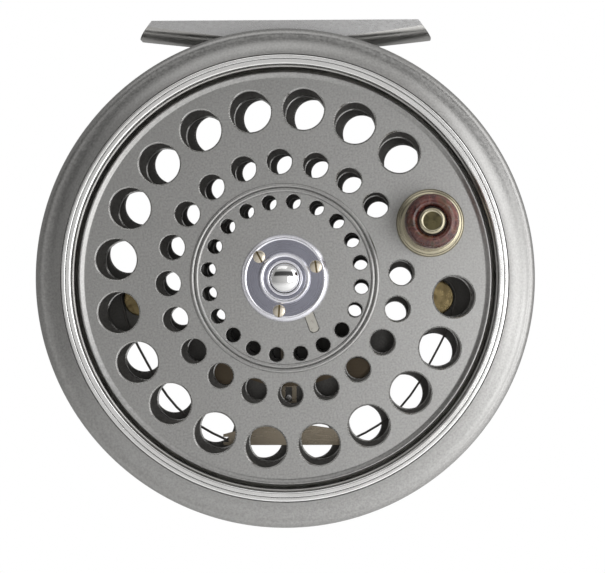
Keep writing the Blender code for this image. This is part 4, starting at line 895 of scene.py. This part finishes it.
def washer_and_nut():
    """What holds the spindle in the back plate; the nut's corners are bevelled as turned nuts are."""
    near = BACK_DEPTH + SEAT
    far = near + 0.7
    outer = 4.8
    outline = [(SPINDLE_HOLE, near), (outer, near), (outer, far), (SPINDLE_HOLE, far)]
    add_turned("spindle_washer", outline, [PLAIN_NICKEL], "frame", "nickel_screws")
    across = radius_of("spindle_nut")
    front, back = ends_of("spindle_nut")
    bm = bmesh.new()
    add_slab(bm, arc((0, 0), across, 0, 300, 5), front, back)
    nut = new_object("spindle_nut_detail", bm, [PLAIN_NICKEL])
    flare = bmesh.new()
    outline = [(0, front - OVER), (SPINDLE_HOLE, front - OVER), (SPINDLE_HOLE, back - 0.3),
               (2.9, back + 0.15), (2.9, back + OVER), (0, back + OVER)]
    revolve(flare, outline, SIDES_SMALL)
    cut(nut, flare)
    crown = bmesh.new()
    wide = across * 1.6
    add_bevels(crown, (front, back), across * 0.9, wide, 0.01, 0.25 + (wide - across) * 0.55)
    cut(nut, crown)
    settle(nut, "frame", "spindle_nut")


# ---- spool and latch
# the look for inner faces is painted shade on the bore, the hole walls and the rear faces
FACE_SATIN, FACE_EDGE, FACE_BRIGHT, FACE_SHADED, FACE_WALL, FACE_GROOVE = range(6)


def double_bead():
    """Two fine beads side by side on the face, just outside the inner ring of holes."""
    points = []
    radius = 0.44
    steps = 12
    for middle in (-0.46, 0.46):
        for i in range(steps + 1):
            x, rise = polar(radius, 180 - 180 * i / steps)
            points.append((DOUBLE_BEAD_MIDDLE + middle + x, -rise, FACE_SATIN))
    return points


def face_edge():
    """The face's edge: it swells gently to a bead and rolls over into the groove."""
    start = FACE_RADIUS + 0.1
    end = FACE_RADIUS + FACE_BEAD_WIDTH + 0.12
    top = end - 0.25
    swell = []
    steps = 12
    for i in range(steps + 1):
        t = i / steps
        swell.append((start + (top - start) * t, -FACE_BEAD_RISE * t * t * (3 - 2 * t), FACE_SATIN))
    return swell + [
        (top + 0.12, -FACE_BEAD_RISE * 0.9, FACE_SATIN),
        (end - 0.03, -FACE_BEAD_RISE * 0.3, FACE_SATIN),
        (end, 0.2, FACE_GROOVE),
        (end + 0.05, GROOVE_DEPTH - 0.2, FACE_GROOVE),
    ]


def front_plate():
    """The face, its edge bead, the groove and the dished wall that rises to the rim's bright lip."""
    lip_inner = SPOOL_RADIUS - LIP_WIDTH - 0.15
    wall = SPOOL_RADIUS - LIP_WIDTH - WALL_WIDTH
    groove = wall - GROOVE_WIDTH
    core = 2
    foot_of_wall = groove + 0.25
    step_depth = -0.7
    dish = []
    steps = 6
    for i in range(steps + 1):
        t = i / steps
        dish.append((foot_of_wall + (wall + 0.15 - foot_of_wall) * t,
                     GROOVE_DEPTH - (GROOVE_DEPTH - step_depth) * t ** 1.6, FACE_WALL if i else FACE_GROOVE))
    outline = [
        (core, 0, FACE_SHADED), *double_bead(), *face_edge(), *dish,
        (wall + 0.38, step_depth - 0.22, FACE_WALL),
        (lip_inner - 0.08, -LIP_RISE + 0.75, FACE_WALL),
        *lip(lip_inner - 0.05, SPOOL_RADIUS + 0.05, FACE_BRIGHT, (0.3, 0.12)),
        (SPOOL_RADIUS, -LIP_RISE + 2.5, FACE_BRIGHT), (SPOOL_RADIUS, FRONT_RIM_REAR, FACE_SHADED),
        (groove, FRONT_RIM_REAR, FACE_SHADED), (FACE_RADIUS, FRONT_THICKNESS, FACE_SHADED),
        (core, FRONT_THICKNESS, FACE_SHADED),
    ]
    looks = [SATIN, EDGE, BRIGHT, SHADED_SATIN, WALL, GROOVE]
    plate = revolved("spool_front_plate_detail", outline, looks, SIDES_LARGE)
    tool = bmesh.new()
    chamfers = (0.28, 0.22, 0.18)
    perforate(tool, ([9, 27], [18], []), (0, FRONT_THICKNESS), chamfers, FACE_SHADED)
    add_latch_opening(tool)
    cut(plate, tool)
    settle(plate, "spool", "spool_front_plate", turn=SPOOL_TURN)


def tab_outline(side):
    """The release tab's bevelled end, wider all round by side."""
    low, high, end = TAB_LOW - side, TAB_HIGH + side, TAB_END + side
    return [(end - TAB_BEVEL, low), (end, low + TAB_BEVEL), (end, high - TAB_BEVEL), (end - TAB_BEVEL, high)]


def tab_angles(ring, side):
    """Where the tab's two sides leave a ring round the spindle, in degrees."""
    return [math.degrees(math.asin(z / ring)) for z in (TAB_LOW - side, TAB_HIGH + side)]


def add_latch_opening(bm):
    """The opening under the hub cover and the slot that the release tab shows in."""
    side = 0.12
    ring = LATCH_RING + 0.3
    low, high = tab_angles(ring, side)
    points = arc((0, 0), ring, high, 90, 8) + arc((-LATCH_TRAVEL, 0), ring, 90, 270, 24)
    points += arc((0, 0), ring, 270, 360 + low, 12) + tab_outline(side)
    before = set(bm.verts)
    add_slab(bm, points, -OVER, FRONT_THICKNESS + OVER, FACE_EDGE)
    new = [v for v in bm.verts if v not in before]
    turn_points(bm, new, -math.radians(LATCH_ANGLE - SPOOL_TURN))


def drum():
    inner = DRUM_RADIUS - DRUM_WALL
    outline = [(inner, DRUM_FRONT), (DRUM_RADIUS, DRUM_FRONT), (DRUM_RADIUS, DRUM_REAR), (inner, DRUM_REAR)]
    made = revolved("spool_drum_detail", outline, [SHADED_SATIN], SIDES_MIDDLE * 2)
    settle(made, "spool", "spool_drum", turn=SPOOL_TURN)


def rear_plate():
    # the inner look is painted shade on the plate's faces and hole walls
    shaded, _, turned_rim = range(3)
    radius = SPOOL_RADIUS - 2 * RIM_GAP
    rim_front = REAR_PLATE_FRONT - 1.2
    outline = [
        (HUB_BORE, REAR_PLATE_FRONT, shaded), (radius - 1.5, REAR_PLATE_FRONT, shaded),
        (radius - 1.0, rim_front, shaded), (radius, rim_front, turned_rim),
        (radius, SPOOL_REAR, turned_rim), (HUB_BORE, SPOOL_REAR, shaded),
    ]
    looks = [SHADED_SATIN, EDGE, CONE]
    plate = revolved("spool_rear_plate_detail", soften(outline, 0.15, 2), looks, SIDES_LARGE)
    tool = bmesh.new()
    chamfers = (0.22, 0.18, 0.15)
    perforate(tool, ([], [], []), (REAR_PLATE_FRONT, SPOOL_REAR), chamfers, shaded)
    cut(plate, tool)
    settle(plate, "spool", "spool_rear_plate", turn=SPOOL_TURN)


def hub():
    """The hub with its front flange, and the two bushes that run on the spindle."""
    flange = 9.0
    outline = [
        (HUB_BORE, DRUM_FRONT), (flange, DRUM_FRONT), (flange, DRUM_FRONT + 1.75),
        (HUB_RADIUS, DRUM_FRONT + 2.35), (HUB_RADIUS, DRUM_REAR), (HUB_BORE, DRUM_REAR),
    ]
    add_turned("spool_hub", outline, [SHADED_SATIN], "spool", "satin_aluminium")
    inner = SPINDLE_RADIUS + 0.05
    for name, near in (("front_bush", DRUM_FRONT), ("rear_bush", SPOOL_REAR + 0.3 - BUSH_LENGTH)):
        far = near + BUSH_LENGTH
        outline = [(inner, near), (BUSH_RADIUS, near), (BUSH_RADIUS, far), (inner, far)]
        add_turned(name, outline, [BRASS], "spool", "brass")


def latch_cover():
    """The hub cover: a bright bevelled edge, a blue-grey annulus and a raised bright ring."""
    grey, bright = range(2)
    back = -SEAT / 2
    height = 0.6
    bore = SPINDLE_RADIUS + 0.12
    rim = 8.64
    outline = [
        (bore, back, bright), (bore, -0.75, bright), (bore + 0.15, -0.9, bright),
        (3.5, -0.9, bright), (3.65, -0.35, bright), (4.1, -0.35, grey),
        (4.2, -0.9, bright), (4.5, -1.0, bright), (4.85, -1.0, bright),
        (5.1, -height, bright), (7.6, -height, grey), (7.75, -height - 0.12, bright),
        (8.05, -height - 0.1, bright), (8.5, -0.3, bright), (rim, -0.1, bright),
        (rim, back, bright),
    ]
    looks = [COVER, COVER_RING]
    cover = revolved("latch_cover_detail", soften(outline, 0.08, 3), looks, SIDES_MIDDLE * 2)
    seat = -0.2
    tool = bmesh.new()
    for angle in COVER_SCREW_ANGLES:
        centre = polar(COVER_SCREW_CIRCLE, angle - SPOOL_TURN)
        stepped_rod(tool, (1.29, 0.7), (-3, seat, OVER), centre, bright)
    cut(cover, tool)
    settle(cover, "spool", "latch_cover", turn=SPOOL_TURN)
    faces = (seat - 0.5, seat - SEAT, FRONT_THICKNESS + 1.05)
    for number, (angle, turn) in enumerate(zip(COVER_SCREW_ANGLES, (-98, 62, -86)), 1):
        screw(f"cover_screw_{number}", polar(COVER_SCREW_CIRCLE, angle), faces, (1.24, 0.65), NICKEL,
              math.radians(turn), "spool", 0.08, f"cover_screw_detail_{number}")


def latch():
    """The latch plate, whose bevelled tab shows beside the hub cover."""
    low, high = tab_angles(LATCH_RING, 0)
    bm = bmesh.new()
    add_slab(bm, arc((0, 0), LATCH_RING, high, 360 + low, 48) + tab_outline(0), SEAT, SEAT + LATCH_THICKNESS)
    plate = new_object("latch_plate_detail", bm, [LATCH])
    tool = bmesh.new()
    rod(tool, SPINDLE_RADIUS + 0.1, -OVER, 3, SIDES_MIDDLE, (LATCH_TRAVEL, 0))
    cut(plate, tool)
    round_edges(plate, 0.15, 2)
    settle(plate, "latch", "latch_plate", turn=LATCH_ANGLE)


def latch_spring():
    """The latch's coil spring, in its pocket opposite the tab."""
    start = -LATCH_RING - SEAT
    length = LATCH_SPRING_LENGTH
    middle = SEAT + LATCH_THICKNESS / 2
    wire = 0.07
    coil = 0.44 - wire
    turns = 9
    sides = 8
    steps = turns * 20
    bm = bmesh.new()
    rings = []
    for i in range(steps + 1):
        turn = 2 * math.pi * turns * i / steps
        along = start - wire - (length - 2 * wire) * i / steps
        ring = []
        for k in range(sides):
            around = 2 * math.pi * k / sides
            out = coil + wire * math.cos(around)
            ring.append(add_point(bm, along + wire * math.sin(around), middle + out * math.cos(turn),
                                  out * math.sin(turn)))
        rings.append(ring)
    for one, two in zip(rings, rings[1:]):
        for k in range(sides):
            bm.faces.new((one[k], one[k - 1], two[k - 1], two[k]))
    bm.faces.new(rings[0])
    bm.faces.new(rings[-1][::-1])
    made = new_object("latch_spring_coil", bm, [SPRING])
    settle(made, "spool", "latch_spring", turn=LATCH_ANGLE)
    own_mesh(made)


# ---- handle
def handle():
    """The handle: a stepped base, a riveted post, the grip and the cap screw sunk in its end."""
    top = -SEAT - 1.6
    bore = 1.55
    base = [
        (bore, -SEAT), (6.5, -SEAT), (6.7, -0.3), (6.7, -0.75), (6.45, -1.15),
        (6.25, -1.2), (6.1, -1.45), (5.7, top), (bore, top),
    ]
    place = ("spool", "pale_brass", HANDLE_CENTRE)
    add_turned("handle_base", base, [PALE_BRASS], *place, SIDES_MIDDLE, 0.1)
    post_base = top - SEAT
    grip_base = post_base - PLAY
    grip_top = grip_base - GRIP_LENGTH
    recess = grip_top + 2.5
    post_top = recess - 0.2
    rivet = FRONT_THICKNESS + SEAT
    shank, head, post_radius = 1.5, 2.6, 2.0
    post = [
        (0, rivet + 0.6), (2.2, rivet + 0.6), (head, rivet + 0.3), (head, rivet),
        (shank, rivet), (shank, post_base), (post_radius, post_base), (post_radius, post_top), (0, post_top),
    ]
    add_turned("handle_post", post, [PALE_BRASS], *place, SIDES_SMALL, 0.08)
    hole = 2.05
    grip = [(hole, grip_base), *grip_side(grip_base)]
    grip += [
        (3.75, grip_top), (3.5, grip_top + 0.06), (3.2, grip_top + 0.26),
        (2.9, grip_top + 0.62), (2.8, grip_top + 0.85), (2.8, recess), (hole, recess),
    ]
    made = revolved("handle_grip_detail", grip, [GRIP], SIDES_MIDDLE, 50)
    settle(made, "grip", "handle_grip", HANDLE_CENTRE)
    olive, pale = range(2)
    under = post_top - SEAT
    over = under - 2.6
    cap = [
        (0, over + 0.12, olive), (1.8, over + 0.12, olive), (1.95, over, pale),
        (2.15, over, pale), (2.5, over + 0.3, pale), (2.6, over + 0.6, pale),
        (2.6, under, pale), (0, under, pale),
    ]
    add_turned("handle_screw", cap, [CAP_BRASS, PALE_BRASS], *place, SIDES_MIDDLE, 0.1)


def grip_side(base):
    """The grip's side: a smooth curve through (share of the length, radius), from base to top."""
    knots = [(0.0, 4.45), (0.02, 4.7), (0.18, 4.45), (0.36, 4.2), (0.58, 4.72), (0.8, 5.25), (0.91, 5.0),
             (0.965, 4.55), (0.99, 4.1)]
    points = []
    steps = 5
    for i in range(len(knots) - 1):
        before = knots[max(i - 1, 0)]
        here, there = knots[i], knots[i + 1]
        after = knots[min(i + 2, len(knots) - 1)]
        for step in range(steps):
            t = step / steps
            point = []
            for a in range(2):
                slope_here = (there[a] - before[a]) / 2
                slope_there = (after[a] - here[a]) / 2
                point.append((2 * t ** 3 - 3 * t ** 2 + 1) * here[a] + (t ** 3 - 2 * t ** 2 + t) * slope_here
                             + (3 * t ** 2 - 2 * t ** 3) * there[a] + (t ** 3 - t ** 2) * slope_there)
            points.append((min(point[1], GRIP_RADIUS), base - max(point[0], 0.0) * GRIP_LENGTH))
    points.append((knots[-1][1], base - knots[-1][0] * GRIP_LENGTH))
    return points


# ---- click check
def bosses():
    """Two brass bosses behind the spool: the springs' anchor and the regulator's shaft."""
    seat = PLATE_FRONT - SEAT
    top = [(0, BRIDGE_FRONT), (BOSS_RADIUS - 0.3, BRIDGE_FRONT), (BOSS_RADIUS, BRIDGE_FRONT + 0.3)]
    outline = top + [(BOSS_RADIUS, seat), (0, seat)]
    add_turned("spring_anchor", outline, [BRASS], "frame", "brass", (-BOSS_CENTRE[0], BOSS_CENTRE[1]))
    end = ends_of("regulator_shaft")[1]
    seat = PLATE_FRONT - PLAY
    shank = 1.6
    outline = top + [(BOSS_RADIUS, seat), (shank, seat), (shank, end), (0, end)]
    add_turned("regulator_shaft", outline, [BRASS], "regulator", "brass", BOSS_CENTRE)
    knob(end)


def knob(shaft_end):
    """The check knob: scalloped all round, dished on its end, with a slotted screw in the middle."""
    front, back = ends_of("regulator_knob")
    radius = radius_of("regulator_knob")
    outline = []
    flutes = 20
    steps = flutes * 12
    for i in range(steps):
        angle = 360 * i / steps
        wave = abs(math.cos(math.radians(angle * flutes / 2))) ** 0.6
        outline.append(polar(radius - 0.45 * (1 - wave), angle))
    bm = bmesh.new()
    add_slab(bm, outline, front, back)
    made = new_object("regulator_knob_detail", bm, [CONE, BRIGHT], 40)
    tool = bmesh.new()
    head = 2.05
    mouth = head + 0.3
    seat = shaft_end + SEAT
    hole = [(0, seat), (head, seat), (head, back - 0.3), (mouth, back), (mouth, back + OVER),
            (0, back + OVER)]
    revolve(tool, hole, SIDES_MIDDLE, look=1)
    rod(tool, 1.65, front - OVER, seat + 0.01, SIDES_MIDDLE)
    inner = radius - 0.9
    wide = radius * 1.5
    add_bevels(tool, (front, back), inner, wide, 0.001, (wide - inner) * 0.8, 1)
    cut(made, tool)
    settle(made, "regulator", "regulator_knob", BOSS_CENTRE)
    near, far = ends_of("regulator_screw")
    faces = (far, shaft_end + 2 * SEAT, near)
    screw("regulator_screw", BOSS_CENTRE, faces, (2.0, 0.8), PLAIN_NICKEL, 0.3, "regulator")


def carried_over():
    """CAD pieces whose shape is right as it is, given their finish; the click bridge's brass is darkened as
    painted shade.
    """
    looks = {
        "check_gear": BRASS, "check_pawl": PAWL_BRASS, "check_bridge": SHADED_BRASS,
        "check_spring_left": SPRING, "check_spring_right": SPRING, "pawl_guide_pin": STEEL,
        "bridge_dowel_left": STEEL, "bridge_dowel_right": STEEL,
        "gear_screw_1": PLAIN_NICKEL, "gear_screw_2": PLAIN_NICKEL, "gear_screw_3": PLAIN_NICKEL,
    }
    for name, look in looks.items():
        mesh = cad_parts[name].data
        mesh.materials.clear()
        mesh.materials.append(look)


# ---- studio
def floor():
    """A pale floor a little below the reel, which fades out before its edge."""
    look = Look("floor_pale", (0.86, 0.86, 0.86), 0.0, 0.8)
    reach = look.radius(("X", "Y"))
    fade = look.spread(reach, 1.0, 0.0, 0.16, 0.38)
    look.drive("Alpha", fade)
    grain = look.noise(30, 3.0)
    look.bump(grain, 0.05, 0.2 * MM)
    bm = bmesh.new()
    bmesh.ops.create_circle(bm, cap_ends=True, segments=96, radius=0.39)
    plane = new_object("floor", bm, [look.material])
    plane.location = (0, 0, cad_box[0][2] - 0.058)


def softbox(name, place, target, size, power, tall=None):
    data = bpy.data.lights.new(name, "AREA")
    data.shape = "RECTANGLE"
    data.size = size
    data.size_y = tall or size
    data.energy = power
    made = linked(name, data)
    made.location = place
    made.rotation_euler = (Vector(target) - Vector(place)).to_track_quat("-Z", "Y").to_euler()
    made.visible_camera = False
    return made


def dark_band(nodes, place, strength):
    """The world's strength with the dark gap between the lamps, a band in front and a little above."""
    split = nodes.node("ShaderNodeSeparateXYZ")
    nodes.join(place, split.inputs[0])
    front = nodes.maths("MULTIPLY", split.outputs["Y"], -1.0)
    over = nodes.spread(split.outputs["Z"], 0.0, 1.0, 0.10, 0.2, "SMOOTHSTEP")
    under = nodes.spread(split.outputs["Z"], 1.0, 0.0, 0.42, 0.55, "SMOOTHSTEP")
    ahead = nodes.spread(front, 0.0, 1.0, 0.45, 0.6, "SMOOTHSTEP")
    band = nodes.maths("MULTIPLY", nodes.maths("MULTIPLY", over, under), ahead)
    left = nodes.maths("SUBTRACT", 1.0, nodes.maths("MULTIPLY", band, 0.88))
    return nodes.maths("MULTIPLY", strength, left)


def studio():
    """A soft world that looks white to the camera, and four softboxes."""
    scene = bpy.context.scene
    scene.view_settings.view_transform = "Standard"
    scene.world = bpy.data.worlds.new("studio")
    scene.world.use_nodes = True
    nodes = Nodes(scene.world.node_tree)
    backdrop = nodes.tree.nodes["Background"]
    backdrop.inputs["Color"].default_value = (1, 1, 1, 1)
    soft = nodes.node("ShaderNodeBackground")
    soft.inputs["Color"].default_value = (1.0, 0.99, 0.975, 1)
    place = nodes.node("ShaderNodeTexCoord").outputs["Generated"]
    tilt = nodes.node("ShaderNodeVectorMath", operation="DOT_PRODUCT")
    tilt.inputs[1].default_value = BRIGHT_SIDE
    nodes.join(place, tilt.inputs[0])
    level = nodes.spread(tilt.outputs["Value"], WORLD_DIM, WORLD_BRIGHT, *BRIGHT_RANGE, "SMOOTHSTEP")
    nodes.join(dark_band(nodes, place, level), soft.inputs["Strength"])
    mix = nodes.node("ShaderNodeMixShader")
    nodes.join(nodes.node("ShaderNodeLightPath").outputs["Is Camera Ray"], mix.inputs["Fac"])
    nodes.join(soft.outputs[0], mix.inputs[1])
    nodes.join(backdrop.outputs[0], mix.inputs[2])
    nodes.join(mix.outputs[0], nodes.tree.nodes["World Output"].inputs["Surface"])
    centre = (0, FACE_Y, AXIS_Z)
    softbox("softbox_side", (0.42, FACE_Y - 0.26, AXIS_Z + 0.08), centre, 0.36, SIDE_POWER, 0.6)
    softbox("softbox_front", (0.15, FACE_Y - 0.36, AXIS_Z - 0.03), centre, 0.15, FRONT_POWER)
    softbox("softbox_top", (-0.1, FACE_Y - 0.22, AXIS_Z + 0.4), centre, 0.4, TOP_POWER, 0.25)
    x, y = 0.33, FACE_Y - 0.16
    lamp = softbox("softbox_floor", (x, y, AXIS_Z + 0.22), (x, y + MM, AXIS_Z - 1), 0.2, FLOOR_POWER)
    lamp.visible_glossy = False


def camera():
    """Nearly square on to the face, a little from the right."""
    data = bpy.data.cameras.new("camera")
    data.lens = 166.2
    data.sensor_width = 36
    data.clip_start = 0.01
    data.clip_end = 20
    made = linked("camera", data)
    place = Vector((15.94 * MM, FACE_Y - 550 * MM, AXIS_Z - 3.08 * MM))
    target = Vector((3.48 * MM, FACE_Y, AXIS_Z - 1.67 * MM))
    turn = (target - place).to_track_quat("-Z", "Y").to_matrix().to_4x4()
    roll = Matrix.Rotation(math.radians(-0.2), 4, "Z")
    made.matrix_world = Matrix.Translation(place) @ turn @ roll
    bpy.context.scene.camera = made


# ---- the reel
frame_ring()
back_plate()
pillars()
pillar_screws()
small_back_screws()
foot_bridge()
reel_foot()
foot_screws()
spindle()
washer_and_nut()
front_plate()
drum()
rear_plate()
hub()
latch_cover()
latch()
latch_spring()
handle()
bosses()
carried_over()
floor()
studio()
camera()
